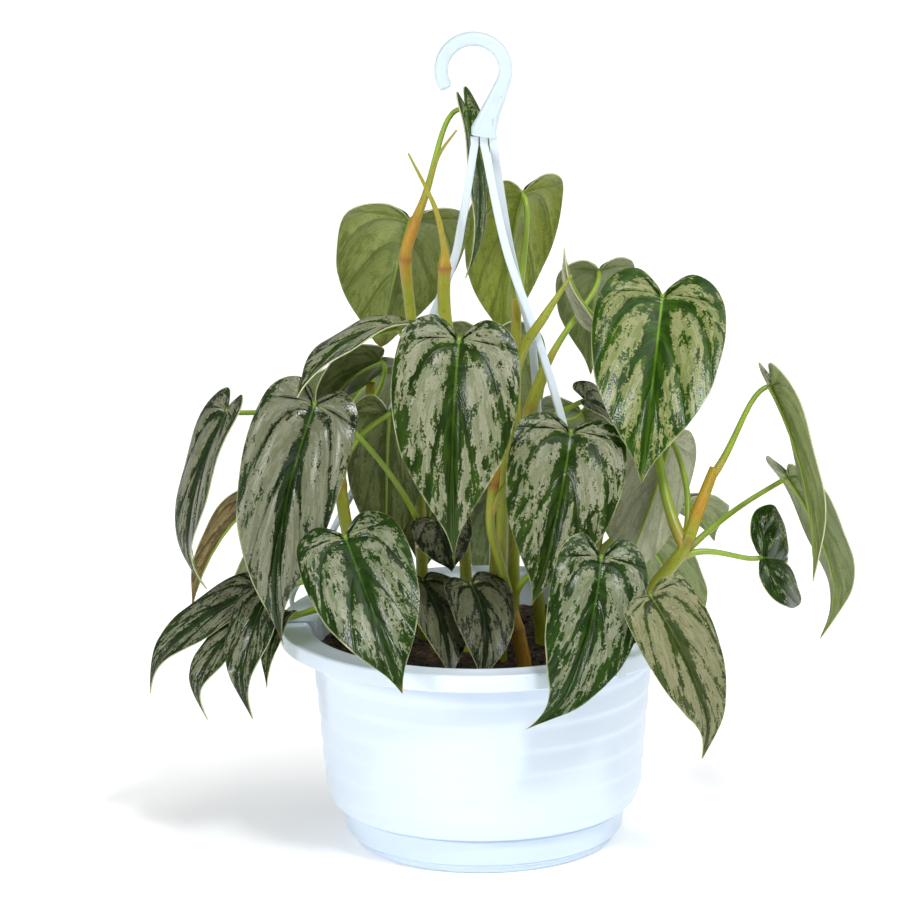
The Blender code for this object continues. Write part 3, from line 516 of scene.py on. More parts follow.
BLADE_THICKNESS = 0.55
ARCH = 6.0
CUP = 0.12
RIPPLE = 1.2
ACROSS_FACES = 36
ALONG_FACES = 60
VEINS = 6
CURL_START = 0.72
STALK_STEPS = 22
STALK_SIDES = 10
STALK_BASE_RADIUS = 1.9
STALK_RADIUS = 1.15
STALK_TOP_DEPTH = 1.35
STALK_REACH = 0.22
MIDRIB_SHARES = (0.03, 0.08, 0.16, 0.28, 0.42, 0.58, 0.74, 0.88)

# Margin of half a blade, as (place along the midrib, share of the half width, where the vein that
# ends there leaves the midrib). Every second one is the end of a main side vein.
MARGIN = (
    (0.00, 0.00, 0.0),
    (-0.070, 0.15, 0.0),
    (-0.115, 0.42, 0.0),
    (-0.070, 0.74, 0.0),
    (0.040, 0.94, 0.0),
    (0.240, 1.00, 0.0),
    (0.480, 0.895, 0.03),
    (0.600, 0.75, 0.12),
    (0.710, 0.56, 0.23),
    (0.790, 0.385, 0.35),
    (0.865, 0.205, 0.50),
    (0.935, 0.08, 0.72),
    (1.00, 0.00, 1.0),
)


def margin_at(t):
    """Margin place and vein root at a share t of the way from the stalk round to the tip."""
    line = [Vector(entry) for entry in MARGIN]
    i = min(int(t * (len(line) - 1)), len(line) - 2)
    place = spline_place(line, i, t * (len(line) - 1) - i)
    return place.x, max(place.y, 0.0), min(max(place.z, 0.0), 1.0)


class Blade:
    """Heart-shaped blade, described by s along its midrib and w across it."""

    def __init__(self, base, tip, width, face, fold=14.0, sway=0.0, curl=(0.0, 0.0), lobes=1.0, taper=1.0):
        self.base = Vector(base)
        self.chord = Vector(tip) - self.base
        along = self.chord.normalized()
        face = Vector(face)
        self.up = (face - along * face.dot(along)).normalized()
        self.across = along.cross(self.up)
        self.half = width / 2
        self.folds = fold if isinstance(fold, tuple) else (fold, fold)
        self.sway = sway
        self.curl = curl
        self.lobes = lobes
        self.taper = taper

    def rib(self, s):
        if s < 0.0:
            return self.rib(0.0) + (self.rib(0.01) - self.rib(0.0)) * (s / 0.01)
        bow = 4.0 * s * (1.0 - s)
        bend = max(0.0, (s - CURL_START) / (1.0 - CURL_START)) ** 2
        side = self.sway * bow + self.curl[0] * bend
        lift = ARCH * bow - self.curl[1] * bend
        return self.base + self.chord * s + self.across * side + self.up * lift

    def frame(self, s):
        """Directions across and up from the blade at a place on the midrib."""
        start = min(max(s, 0.0), 0.99)
        along = (self.rib(start + 0.01) - self.rib(start)).normalized()
        across = along.cross(self.up).normalized()
        return across, across.cross(along)

    def margin(self, t):
        """Margin place, half width and vein root at a share t of the way round to the tip."""
        s, w, root = margin_at(t)
        if s < 0.0:
            return s * self.lobes, w, root
        return s, w ** (1.0 + (self.taper - 1.0) * min(1.0, s / 0.3)), root

    def point(self, s, w, relief):
        across, up = self.frame(s)
        fold = math.radians(self.folds[0] if w > 0 else self.folds[1])
        reach = abs(w) * self.half
        ripple = RIPPLE * w * w * math.sin(9.0 * s + (1.3 if w > 0 else 0.0))
        height = reach * math.sin(fold) - CUP * self.half * w * w + ripple + relief
        side = math.copysign(reach * math.cos(fold), w)
        return self.rib(s) + across * side + up * height


def leaf_skin(name, silver, sage, green, deep, rib_colour, edge, gloss, lines=0.0, shine=0.24):
    """Leaf skin, leathery and satin: silver patches, torn along the veins, over green.

    The edge is how softly a patch ends, which is sharp above and soft below. Lines is how dark
    the side veins show, and shine how much light the skin throws back. The patches are about
    6 mm long and their torn steps 1 to 2 mm. The cells of the skin are drawn coarse, 0.8 mm, so
    that they show.
    """
    made, node, shader = new_material(name)
    smooth = {"interpolation_type": "SMOOTHSTEP"}
    place = node("TexCoord")["Object"]
    vein = node("Attribute", attribute_name="vein")["Vector"]
    blade = node("Attribute", attribute_name="blade")["Vector"]
    fan_across, fan_along, seed = node("SeparateXYZ", (vein,))
    across, along, spread = node("SeparateXYZ", (blade,))

    def along_veins(wide, long):
        """A place on the blade, in steps across and along the fan of its veins."""
        x = node("Math", (fan_across, wide, seed), operation="MULTIPLY_ADD")[0]
        y = node("Math", (fan_along, long), operation="MULTIPLY")[0]
        return node("CombineXYZ", (x, y, seed))[0]

    def streaks(wide, long, detail):
        """Cloudy streaks along the veins, from about -0.3 to 0.3."""
        size = {"Scale": 1.0, "Detail": detail}
        found = node("TexNoise", {"Vector": along_veins(wide, long), **size})["Fac"]
        return node("Math", (found, 0.5), operation="SUBTRACT")[0]

    def cells(where, scale):
        """A chance value for each cell, from -0.5 to 0.5, and the distance from its middle."""
        found = node("TexVoronoi", {"Vector": where, "Scale": scale})
        chance = node("SeparateColor", (found["Color"],))[0]
        return node("Math", (chance, 0.5), operation="SUBTRACT")[0], found["Distance"]

    side = node("Math", (fan_across,), operation="ABSOLUTE")[0]
    away = node("Math", (across,), operation="ABSOLUTE")[0]
    turns = node("Math", (fan_along, VEINS), operation="MULTIPLY")[0]
    to_vein = node("Math", (turns, 0.5), operation="PINGPONG")[0]
    speckle, skin_cell = cells(place, 1 / (0.8 * MM))
    long_step = cells(along_veins(9.0, 60.0), 1.0)[0]
    short_step = cells(along_veins(24.0, 60.0), 1.0)[0]

    # Green bands along the midrib, the side veins and the margin
    rib_start = node("MapRange", (along, 0.0, 0.22, 0.07, 0.17), **smooth)[0]
    rib_end = node("MapRange", (along, 0.3, 0.95, 1.0, 0.3), **smooth)[0]
    rib_width = node("Math", (rib_start, rib_end), operation="MULTIPLY")[0]
    rib_share = node("Math", (away, rib_width), operation="DIVIDE")[0]
    rib_band = node("MapRange", (rib_share, 0.4, 1.5, 1.0, 0.0), **smooth)[0]
    vein_width = node("MapRange", (side, 0.0, 0.5, 0.34, 0.15), **smooth)[0]
    vein_share = node("Math", (to_vein, vein_width), operation="DIVIDE")[0]
    vein_limit = node("Math", (vein_share, 1.0), operation="MINIMUM")[0]
    vein_band = node("Math", (1.0, vein_limit), operation="SUBTRACT")[0]
    vein_pull = node("MapRange", (side, 0.2, 0.9, -0.95, -0.5), **smooth)[0]
    rim_start = node("MapRange", (fan_along, 0.15, 0.5, 0.50, 0.70), **smooth)[0]
    rim_share = node("Math", (side, rim_start), operation="SUBTRACT")[0]
    rim_band = node("MapRange", (rim_share, 0.0, 0.28), **smooth)[0]

    # Silver where the sum is over zero, torn more towards the margin
    tear = node("Math", (side, 1.8, 1.3), operation="MULTIPLY_ADD")[0]
    step_tear = node("Math", (side, 0.4, 0.3), operation="MULTIPLY_ADD")[0]
    value = node("Math", (spread, 0.22), operation="SUBTRACT")[0]
    for layer, weight in (
        (streaks(2.4, 11.0, 1.0), 1.5),
        (streaks(9.0, 26.0, 3.0), tear),
        (long_step, step_tear),
        (short_step, 0.42),
        (speckle, 0.46),
        (rib_band, -1.2),
        (vein_band, vein_pull),
        (rim_band, -0.55),
    ):
        value = node("Math", (layer, weight, value), operation="MULTIPLY_ADD")[0]
    patch = node("MapRange", (value, -edge, edge), **smooth)[0]
    halo = node("MapRange", (value, -0.16 - edge, -0.10 + edge, 0.0, 0.6), **smooth)[0]

    cloud = node("MapRange", (streaks(4.0, 22.0, 3.0), -0.15, 0.2), **smooth)[0]
    leaf_green = node("Mix", {0: cloud, 6: srgb(deep), 7: srgb(green)}, data_type="RGBA")[2]
    wear = node("Math", (long_step, 0.40, streaks(4.0, 26.0, 3.0)), operation="MULTIPLY_ADD")[0]
    worn = node("MapRange", (wear, -0.02, 0.06, 0.0, 0.55), **smooth)[0]
    light = node("Mix", {0: worn, 6: srgb(silver), 7: srgb(sage)}, data_type="RGBA")[2]
    grain = node("MapRange", (streaks(5.0, 110.0, 2.0), -0.25, 0.25, 0.86, 1.08), **smooth)[0]
    cell_tone = node("MapRange", (skin_cell, 0.1, 0.8, 1.05, 0.9), **smooth)[0]
    vein_line = node("MapRange", (to_vein, 0.0, 0.06, lines, 0.0), **smooth)[0]
    rib_near = node("MapRange", (away, 0.006, 0.028, 1.0, 0.0), **smooth)[0]
    rib_fade = node("MapRange", (along, 0.0, 0.55, 0.75, 0.2), **smooth)[0]
    rib_line = node("Math", (rib_near, rib_fade), operation="MULTIPLY")[0]
    dry_tip = node("MapRange", (along, 0.93, 1.0, 0.0, 0.7), **smooth)[0]
    edge_near = node("MapRange", (side, 0.98, 0.995), **smooth)[0]
    edge_wear = node("MapRange", (streaks(0.3, 9.0, 2.0), -0.1, 0.15, 0.1, 0.75), **smooth)[0]
    pale_edge = node("Math", (edge_near, edge_wear), operation="MULTIPLY")[0]
    joint_near = node("MapRange", (away, 0.01, 0.05, 0.8, 0.0), **smooth)[0]
    joint_end = node("MapRange", (along, 0.0, 0.02, 1.0, 0.0), **smooth)[0]
    joint = node("Math", (joint_near, joint_end), operation="MULTIPLY")[0]
    tint = leaf_green
    for way, share, colour in (
        ("MIX", halo, srgb(sage)),
        ("MIX", patch, light),
        ("MULTIPLY", 1.0, grain),
        ("MULTIPLY", 1.0, cell_tone),
        ("MIX", vein_line, srgb(deep)),
        ("MIX", rib_line, srgb(rib_colour)),
        ("MIX", dry_tip, srgb("7C6A34")),
        ("MIX", pale_edge, srgb("A9B07C")),
        ("MIX", joint, srgb("8FAE4A")),
    ):
        tint = node("Mix", {0: share, 6: tint, 7: colour}, data_type="RGBA", blend_type=way)[2]

    groove = node("MapRange", (to_vein, 0.0, 0.07), **smooth)[0]
    pitted = node("Math", (skin_cell, -0.3, groove), operation="MULTIPLY_ADD")[0]
    relief = node("Math", (streaks(5.0, 90.0, 2.0), 0.7, pitted), operation="MULTIPLY_ADD")[0]
    bump = node("Bump", {"Height": relief, "Strength": 0.5, "Distance": 0.3 * MM})[0]
    satin = node("MapRange", (patch, 0.0, 1.0, gloss - 0.05, gloss + 0.04), **smooth)[0]
    set_inputs(shader, {"Base Color": tint, "Roughness": satin, "Normal": bump})
    set_inputs(shader, {"IOR": 1.48, "Specular IOR Level": shine})
    return made


def leaf_edge():
    """The margin's thin rim of colourless cells, which shows as a pale yellow line."""
    made, node, shader = new_material("leaf_rim")
    place = node("TexCoord")["Object"]
    cloud = node("TexNoise", {"Vector": place, "Scale": 1 / (6 * MM), "Detail": 2.0})["Fac"]
    tint = node("Mix", {0: cloud, 6: srgb("8E9A60"), 7: srgb("D8DAB4")}, data_type="RGBA")[2]
    set_inputs(shader, {"Base Color": tint, "Roughness": 0.5})
    return made


def leaf_stalk():
    """Leaf stalk, fleshy and satin: yellow-green, more orange at its foot, finely ribbed."""
    made, node, shader = new_material("leaf_stalk")
    place = node("TexCoord")["Object"]
    stalk = node("Attribute", attribute_name="stalk")["Vector"]
    share = node("SeparateXYZ", (stalk,))[0]
    cloud = node("TexNoise", {"Vector": place, "Scale": 1 / (7 * MM), "Detail": 4.0})["Fac"]
    green = node("Mix", {0: cloud, 6: srgb("6E8F26"), 7: srgb("A2B83E")}, data_type="RGBA")[2]
    foot = node("MapRange", (share, 0.0, 0.35, 0.6, 0.0), interpolation_type="SMOOTHSTEP")[0]
    tint = node("Mix", {0: foot, 6: green, 7: srgb("B9873C")}, data_type="RGBA")[2]
    grain = node("TexNoise", {"Vector": place, "Scale": 1 / (0.5 * MM), "Detail": 2.0})["Fac"]
    bump = node("Bump", {"Height": grain, "Strength": 0.2, "Distance": 0.15 * MM})[0]
    set_inputs(shader, {"Base Color": tint, "Roughness": 0.36, "Normal": bump})
    return made


# Each skin's silver, sage, green, deep green and midrib, then how soft its patches end, its
# roughness, how dark its side veins are, and its shine
TOP = leaf_skin(
    "silver_leaf", "8D8F76", "66714A", "30480F", "1B2E08", "5F7C2C", 0.03, 0.27, 0.2, 0.2
)
TOP_LIVELY = leaf_skin(
    "silver_leaf_young", "8C9062", "5F702C", "34560A", "1F3A05", "7FA530", 0.03, 0.24, 0.3
)
TOP_DARK = leaf_skin(
    "silver_leaf_old", "888C74", "55653C", "294410", "172C08", "4F7228", 0.03, 0.24, 0.3
)
TOP_PALE = leaf_skin(
    "silver_leaf_dull", "888866", "6F744C", "3E4E1C", "2C3B14", "6A7434", 0.05, 0.34, 0.3
)
TOP_SATIN = leaf_skin(
    "silver_leaf_satin", "7B7E66", "596044", "253A12", "15240A", "4E6E28", 0.03, 0.22, 0.6, 0.36
)
# A darker copy of the silver skin: painted shade for the leaves low inside the plant, over the pot.
TOP_SHADED = leaf_skin(
    "silver_leaf_shaded", "66684F", "484E34", "243018", "151E0D", "42552A", 0.03, 0.28, 0.3
)
UNDER = leaf_skin(
    "leaf_underside", "98A46C", "929E64", "87945A", "74834A", "B4C070", 0.4, 0.40, 0.8
)
UNDER_OLIVE = leaf_skin(
    "leaf_underside_olive", "9FAC62", "97A459", "8C9A4F", "75853F", "B0BC60", 0.45, 0.38, 1.0
)
UNDER_YELLOW = leaf_skin(
    "leaf_underside_young", "A6B350", "9CAA48", "909F42", "7B8B36", "C8D25E", 0.45, 0.38, 0.8
)
UNDER_GREY = leaf_skin(
    "leaf_underside_grey", "B9BCA0", "B2B598", "AAAE90", "9A9E82", "C8C2BE", 0.45, 0.38, 0.7
)
# A darker copy of the underside skin: painted shade for the leaves inside and behind the plant.
UNDER_SHADED = leaf_skin(
    "leaf_underside_shaded", "7E8956", "727D48", "646F3C", "4F5C2E", "8F9A5A", 0.30, 0.44, 0.6
)
UNDER_DRY = leaf_skin(
    "leaf_underside_dry", "9A8A5E", "8A794C", "7A6940", "5E4E2E", "A8985A", 0.25, 0.5, 0.3
)
RIM = leaf_edge()
STALK = leaf_stalk()


def stem_place(name, z):
    """Centre, direction and radius of a stem where it passes a height."""
    line, thick = stem_paths[name]
    for i in range(1, len(line)):
        if line[i].z >= z:
            share = (z - line[i - 1].z) / (line[i].z - line[i - 1].z)
            place = line[i - 1].lerp(line[i], share)
            return place, (line[i] - line[i - 1]).normalized(), thick[i]
    return line[-1], (line[-1] - line[-2]).normalized(), thick[-1]


def blade_sheet(name, blade, seed, silver, quilt, materials):
    """A grid shaped into the upper face of a blade, whose rows run out along the veins."""
    bpy.ops.mesh.primitive_grid_add(x_subdivisions=ACROSS_FACES, y_subdivisions=ALONG_FACES, size=2.0)
    sheet = bpy.context.object
    sheet.name = name
    veins = []
    blades = []
    margins = [blade.margin(row / ALONG_FACES) for row in range(ALONG_FACES + 1)]
    for vertex in sheet.data.vertices:
        side = vertex.co.x
        t = (vertex.co.y + 1) / 2
        edge_s, edge_w, root = margins[round(t * ALONG_FACES)]
        out = abs(side)
        far = min(max((t - 0.25) / 0.3, 0.0), 1.0)
        bow = 0.9 * math.exp(-(((t - 0.44) / 0.18) ** 2)) + 0.3 * far
        s = root + (edge_s - root) * out ** (1.0 + bow)
        w = math.copysign(edge_w * out ** (1.0 - 0.35 * bow), side)
        ridge = abs(math.sin(math.pi * VEINS * t)) ** 0.7 * math.sin(math.pi * out**0.8) * (1 - t**4)
        gutter = 0.5 * math.exp(-((w * blade.half / 1.6) ** 2)) * min(1.0, max(0.0, s * 8))
        vertex.co = blade.point(s, w, quilt * blade.half * ridge - gutter) * MM
        veins.append((side, t, seed))
        blades.append((w, s, silver))
    write_attribute(sheet.data, "vein", veins)
    write_attribute(sheet.data, "blade", blades)
    bpy.ops.object.mode_set(mode="EDIT")
    bpy.ops.mesh.select_all(action="SELECT")
    bpy.ops.mesh.remove_doubles(threshold=0.0005 * MM)
    bpy.ops.object.mode_set(mode="OBJECT")
    for item in materials:
        sheet.data.materials.append(item)
    solid = sheet.modifiers.new("thickness", "SOLIDIFY")
    solid.thickness = BLADE_THICKNESS * MM
    solid.offset = -1.0
    solid.material_offset = 1
    solid.material_offset_rim = 2
    bpy.ops.object.modifier_apply(modifier=solid.name)
    return sheet


def stalk_tube(name, blade, stem, height, rise, guides, thick):
    """A stalk out of its stem, up in an arc and in under the blade, where it runs on as midrib.

    The guides, if given, are the two points that draw the arc.
    """
    centre, up_stem, stem_radius = stem_place(stem, height)
    target = blade.base - blade.up * STALK_TOP_DEPTH
    outward = target - centre
    outward = (outward - up_stem * outward.dot(up_stem)).normalized()
    start = centre + outward * stem_radius * 0.3
    distance = (target - start).length
    first = start + (up_stem * rise + outward * 0.25) * distance * 0.4
    last = target - blade.up * distance * STALK_REACH
    if guides:
        first, last = [Vector(guide) for guide in guides]
    line = [centre - up_stem * 3.0]
    radii = [STALK_BASE_RADIUS * thick * 0.8]
    for k in range(STALK_STEPS + 1):
        t = k / STALK_STEPS
        u = 1 - t
        line.append(start * u**3 + first * (3 * t * u**2) + last * (3 * t**2 * u) + target * t**3)
        radii.append((STALK_RADIUS + (STALK_BASE_RADIUS - STALK_RADIUS) * (1 - t) ** 3) * thick)
    for s in MIDRIB_SHARES:
        radius = STALK_RADIUS * (1 - s) ** 0.8 * 0.8
        line.append(blade.rib(s) - blade.frame(s)[1] * (BLADE_THICKNESS + 0.5 + 0.35 * radius))
        radii.append(radius)
    values = [(min(i / STALK_STEPS, 1.0), 0.0, 0.0) for i in range(len(line))]
    ways = carried_ways(line, outward)
    return rolled_tube(name, line, ways, round_section(radii), STALK_SIDES, "stalk", values)


def leaf(
    name, base, tip, width, face, stem, height, top=TOP, under=UNDER, silver=0.5, quilt=0.06,
    seed=0.0, rise=1.0, guides=None, thick=1.0, **form,
):
    """One leaf in place of its solid.

    Silver is how far the light patches spread, quilt how high the skin swells between the
    veins, and form whatever else shapes the blade.
    """
    blade = Blade(base, tip, width, face, **form)
    piece_name = name.replace("leaf", "blade")
    sheet = blade_sheet(piece_name, blade, seed, silver, quilt, (top, under, RIM))
    stalk = stalk_tube(piece_name + "_stalk", blade, stem, height, rise, guides, thick)
    stalk.data.materials.append(STALK)
    dress(join_pieces([sheet, stalk]), [], [name], SMOOTH_ANGLE)


leaf(
    "leaf_front_centre", (-9, -50, 239), (-12, -74, 144), 57, (0, -1, 0), "stem_centre_front", 178,
    silver=0.55, seed=1.0, sway=2, lobes=0.85, taper=1.6,
)
leaf(
    "leaf_front_right", (39, -44, 196), (21, -66, 124), 53, (0, -1, 0), "stem_centre_front", 160,
    silver=0.45, seed=2.3, sway=-1.5, lobes=0.75, taper=1.2,
)
leaf(
    "leaf_rim_right", (51, -76, 148), (25, -100, 76), 44, (0.1, -1, 0), "stem_centre_front", 112,
    top=TOP_DARK, silver=0.4, seed=3.1, sway=-4, curl=(8, 0), taper=1.2,
)
leaf(
    "leaf_low_right", (72, -86, 134), (100, -82, 62), 36, (0.5, -1, 0), "stem_right", 112,
    top=TOP_PALE, silver=0.75, seed=4.7, sway=-2, curl=(7, 0), lobes=0.35,
    guides=((74, -44, 130), (82, -78, 128)),
)
leaf(
    "leaf_upper_right", (80, -8, 247), (69, -60, 177), 60, (0, -1, 0.5), "stem_right", 143,
    top=TOP_LIVELY, silver=0.45, seed=5.2, lobes=1.25, guides=((78, -26, 155), (68, 10, 226)), thick=1.6,
)
leaf(
    "leaf_big_left", (-72, -30, 206), (-91, -47, 103), 49, (-0.3, -1, 0), "stem_tall_left", 130,
    top=TOP_SATIN, silver=0.85, quilt=0.11, seed=6.4, sway=4, curl=(-4, 0), lobes=0.75, taper=1.2,
    guides=((-19, -30, 148), (-52, -20, 196)),
)
leaf(
    "leaf_rim_left", (-59, -60, 154), (-35, -102, 96), 50, (0, -1, 0.5), "stem_left", 125,
    top=TOP_DARK, silver=0.38, seed=7.9,
)
leaf(
    "leaf_pot_centre", (-5, -36, 126), (-1, -70, 92), 29, (0.15, -0.55, 0.85), "stem_tall_right", 108,
    top=TOP_SHADED, silver=0.55, seed=8.8, sway=-3, taper=0.8,
)
leaf(
    "leaf_pot_left", (-26, -22, 124), (-14, -64, 92), 30, (0.3, -0.5, 0.8), "stem_tall_left", 108,
    top=TOP_SHADED, silver=0.75, seed=9.3, taper=0.8,
)

leaf(
    "leaf_far_right_high", (128, -8, 207), (146, -24, 122), 46, (1, 0.22, 0.1), "stem_right", 172,
    seed=10.1,
)
leaf(
    "leaf_far_right_low", (137, 28, 156), (162, 40, 83), 43.2, (0.9, 0.5, 0), "stem_right", 130,
    seed=11.6, curl=(0, 12),
)
leaf(
    "leaf_far_right_small", (122, -30, 135), (134, 14, 117), 48, (0.95, -0.3, 0.33), "stem_right", 136,
    top=TOP_DARK, silver=0.04, seed=12.2,
)
leaf(
    "leaf_behind_right", (53, 24, 252), (50, 66, 195), 36, (-0.1, 0.8, 0.6), "stem_olive", 214,
    seed=13.5, lobes=1.3,
)
leaf(
    "leaf_rolled_right", (55, 9, 230), (37, 4, 267), 11, (-0.6, -0.6, 0), "stem_right_back", 184,
    top=UNDER_GREY, seed=14.4, fold=50,
)
leaf(
    "leaf_narrow_right", (46, -6, 201), (60, 14, 172), 26, (0.84, 0, 0.54), "stem_olive", 178,
    seed=15.8,
)
leaf(
    "leaf_grey_right", (84, 14, 176), (62, -28, 127), 44, (0.3, 0.9, 0.2), "stem_right", 138,
    under=UNDER_GREY, seed=16.1, fold=(62, 14),
)
leaf(
    "leaf_low_right_back", (82, 30, 145), (106, 70, 116), 42, (0.2, 0.5, 0.8), "stem_right_back", 118,
    seed=17.3,
)

leaf(
    "leaf_far_left", (-111, -4, 197), (-130, -14, 120), 37, (-0.9, -0.38, 0), "stem_left", 184,
    top=TOP_SATIN, seed=18.9, curl=(0, 9),
)
leaf(
    "leaf_dry_left", (-100, 22, 151), (-130, 24, 100), 20, (-0.5, 0.6, 0.6), "stem_left_back", 165,
    under=UNDER_DRY, seed=19.2, fold=35,
)
leaf(
    "leaf_trailing_left", (-99, -6, 116), (-152, -19, 79), 27, (-0.5, -0.5, 0.7), "stem_left", 113,
    top=TOP_SATIN, silver=0.45, seed=20.7, curl=(0, 10), rise=1.5,
)
leaf(
    "leaf_trailing_mid", (-104, -22, 105), (-129, -36, 71), 22, (-0.6, -0.5, 0.5), "stem_left", 104,
    top=TOP_SATIN, silver=0.45, seed=21.1, curl=(0, 12),
)
leaf(
    "leaf_trailing_right", (-93, -23, 121), (-107, -57, 77), 26, (-0.5, -0.8, 0.3), "stem_left", 132,
    top=TOP_SATIN, silver=0.4, seed=22.6, curl=(0, 13),
)
leaf(
    "leaf_small_left", (-85, -24, 111), (-95, -50, 84), 10, (-0.5, -0.8, 0.3), "stem_left", 110,
    silver=0.3, seed=23.4, lobes=0.2,
)
leaf(
    "leaf_flat_left", (-36, -18, 238), (-80, -38, 212), 46, (-0.4, 0, 0.9), "stem_tall_left", 200,
    seed=24.5,
)
leaf(
    "leaf_shaded_left", (-44, 14, 215), (-72, 8, 186), 40, (-0.4, 0.6, 0.7), "stem_left_back", 185,
    under=UNDER_SHADED, seed=25.9,
)
leaf(
    "leaf_top_left", (-30, 32, 274), (-44, 82, 205), 59, (0, 0.75, 0.65), "stem_tall_left", 240,
    under=UNDER_OLIVE, seed=26.2, taper=0.6,
)
leaf(
    "leaf_top_edgewise", (-5, 20, 326), (-5, 24, 249), 24, (0.93, -0.37, 0), "stem_tall_left", 284,
    top=TOP_LIVELY, under=TOP_LIVELY, silver=0.1, seed=27.7,
)
leaf(
    "leaf_inner_left", (-40, -9, 197), (-42, -12, 128), 38, (-0.1, 1, 0), "stem_left", 170,
    under=UNDER_SHADED, seed=28.3, rise=1.5,
)
leaf(
    "leaf_inner_low", (-19, -14, 149), (-13, -24, 128), 27, (0.1, -1, 0.4), "stem_tall_right", 128,
    top=TOP_SHADED, seed=29.8,
)
leaf(
    "leaf_inner_centre", (-18, 26, 166), (-27, 36, 110), 38, (0, 1, 0.2), "stem_tall_right", 148,
    under=UNDER_SHADED, seed=30.4,
)

leaf(
    "leaf_top_centre", (20, 48, 282), (12, 84, 206), 46, (-0.3, 0.8, 0.5), "stem_back_centre", 226,
    under=UNDER_YELLOW, seed=31.9, taper=0.8,
)
leaf(
    "leaf_back_left", (-48, 50, 199), (-80, 90, 130), 52, (-0.4, 0.9, 0.3), "stem_left_back", 190,
    silver=0.7, seed=32.5,
)
leaf("leaf_back_centre", (4, 78, 208), (2, 104, 124), 56, (0, 1, 0.2), "stem_back", 195, seed=33.1)
leaf(
    "leaf_back_right", (46, 70, 176), (62, 100, 102), 50, (0.4, 0.9, 0.2), "stem_back", 160,
    silver=0.6, seed=34.6,
)
leaf(
    "leaf_back_low", (8, 84, 146), (4, 112, 78), 50, (0, 1, 0.2), "stem_back", 125,
    silver=0.45, under=UNDER_SHADED, seed=35.8,
)
leaf(
    "leaf_back_low_right", (74, 72, 117), (96, 98, 57), 40, (0.6, 0.8, 0.3), "stem_right_back", 106,
    seed=36.2,
)
leaf(
    "leaf_back_low_left", (-80, 49, 129), (-113, 67, 69), 42, (-0.7, 0.6, 0.4), "stem_left_back", 110,
    silver=0.4, seed=37.7,
)

# Hanger hook
# The top of the hanger, moulded in white polypropylene: an open hook of rounded section with a domed
# tip, whose shank widens to a flat block with a sunk web on both faces.

HOOK_CENTRE = Vector((-1.4, 0.0, 347.4))
HOOK_RADIUS = 14.0
HOOK_WIDTH = 5.9
HOOK_DEPTH = 5.6
HOOK_ROUNDING = 1.7
HOOK_STEPS = 56
HOOK_START = 206.0
HOOK_SWEEP = 222.0
HOOK_DOME = ((0.7, 0.95), (0.6, 0.87), (0.4, 0.75), (0.2, 0.55))
SHANK = ((9.4, 337.0, 7.2, 5.6), (5.2, 327.5, 9.2, 6.2), (2.9, 321.5, 11.4, 7.0), (2.9, 318.5, 11.4, 7.0))
WEB_LOW = 320.5
WEB_HIGH = 334.0
WEB_INSET = 1.0
WEB_DEPTH = 0.4


def on_hook(degrees):
    """A place on the hook's middle line, by its turn from +X towards +Z."""
    turn = math.radians(degrees)
    return HOOK_CENTRE + Vector((math.cos(turn), 0.0, math.sin(turn))) * HOOK_RADIUS


tip = on_hook(HOOK_START) * MM
turn = math.radians(HOOK_START)
bpy.ops.mesh.primitive_plane_add(size=1.0, location=tip, rotation=(0.0, math.pi - turn, 0.0))
hook = bpy.context.object
hook.name = "hook_moulding"
hook.scale = (HOOK_WIDTH * MM, HOOK_DEPTH * MM, 1.0)
bpy.ops.object.transform_apply()
bpy.ops.object.mode_set(mode="EDIT")
bpy.ops.mesh.select_all(action="SELECT")
bpy.ops.mesh.bevel(offset=HOOK_ROUNDING * MM, segments=4, affect="VERTICES")
bpy.ops.mesh.select_all(action="SELECT")
sweep = -math.radians(HOOK_SWEEP)
bpy.ops.mesh.spin(steps=HOOK_STEPS, angle=sweep, center=HOOK_CENTRE * MM, axis=(0.0, 1.0, 0.0))
here = on_hook(HOOK_START - HOOK_SWEEP)
width, depth = HOOK_WIDTH, HOOK_DEPTH
for x, z, next_width, next_depth in SHANK:
    place = Vector((x, 0.0, z))
    bpy.ops.mesh.extrude_region_move(TRANSFORM_OT_translate={"value": (place - here) * MM})
    ratios = (next_width / width, next_depth / depth, 1.0)
    bpy.ops.transform.resize(value=ratios, center_override=place * MM)
    here, width, depth = place, next_width, next_depth
bpy.ops.mesh.select_all(action="SELECT")
bpy.ops.mesh.normals_make_consistent(inside=False)
bpy.ops.mesh.select_mode(type="FACE")
bpy.ops.mesh.select_all(action="DESELECT")
bpy.ops.object.mode_set(mode="OBJECT")
tip_way = Vector((-math.sin(turn), 0.0, math.cos(turn)))
for face in hook.data.polygons:
    face.select = (face.center - tip).length < 0.2 * MM and abs(face.normal.dot(tip_way)) > 0.9
bpy.ops.object.mode_set(mode="EDIT")
for step, share in HOOK_DOME:
    bpy.ops.mesh.extrude_region_move(TRANSFORM_OT_translate={"value": tip_way * step * MM})
    tip += tip_way * step * MM
    bpy.ops.transform.resize(value=(share, share, share), center_override=tip)
bpy.ops.mesh.select_all(action="DESELECT")
bpy.ops.object.mode_set(mode="OBJECT")
for face in hook.data.polygons:
    face.select = abs(face.normal.y) > 0.9 and WEB_LOW * MM < face.center.z < WEB_HIGH * MM
bpy.ops.object.mode_set(mode="EDIT")
bpy.ops.mesh.select_mode(type="FACE")
bpy.ops.mesh.inset(thickness=WEB_INSET * MM, depth=-WEB_DEPTH * MM, use_even_offset=True)
bpy.ops.mesh.select_mode(type="VERT")
bpy.ops.object.mode_set(mode="OBJECT")
hook_plastic = polypropylene("ice_white_polypropylene", "CFDEE4", "C5D6DE")
dress(hook, [hook_plastic], ["hanger_hook"])

# Hanger straps
# Three flat straps run from under the block to the flange, where each ends in a post and a saddle
# clip that grips the flange from both sides. They are moulded in one with the hook and bend as led.

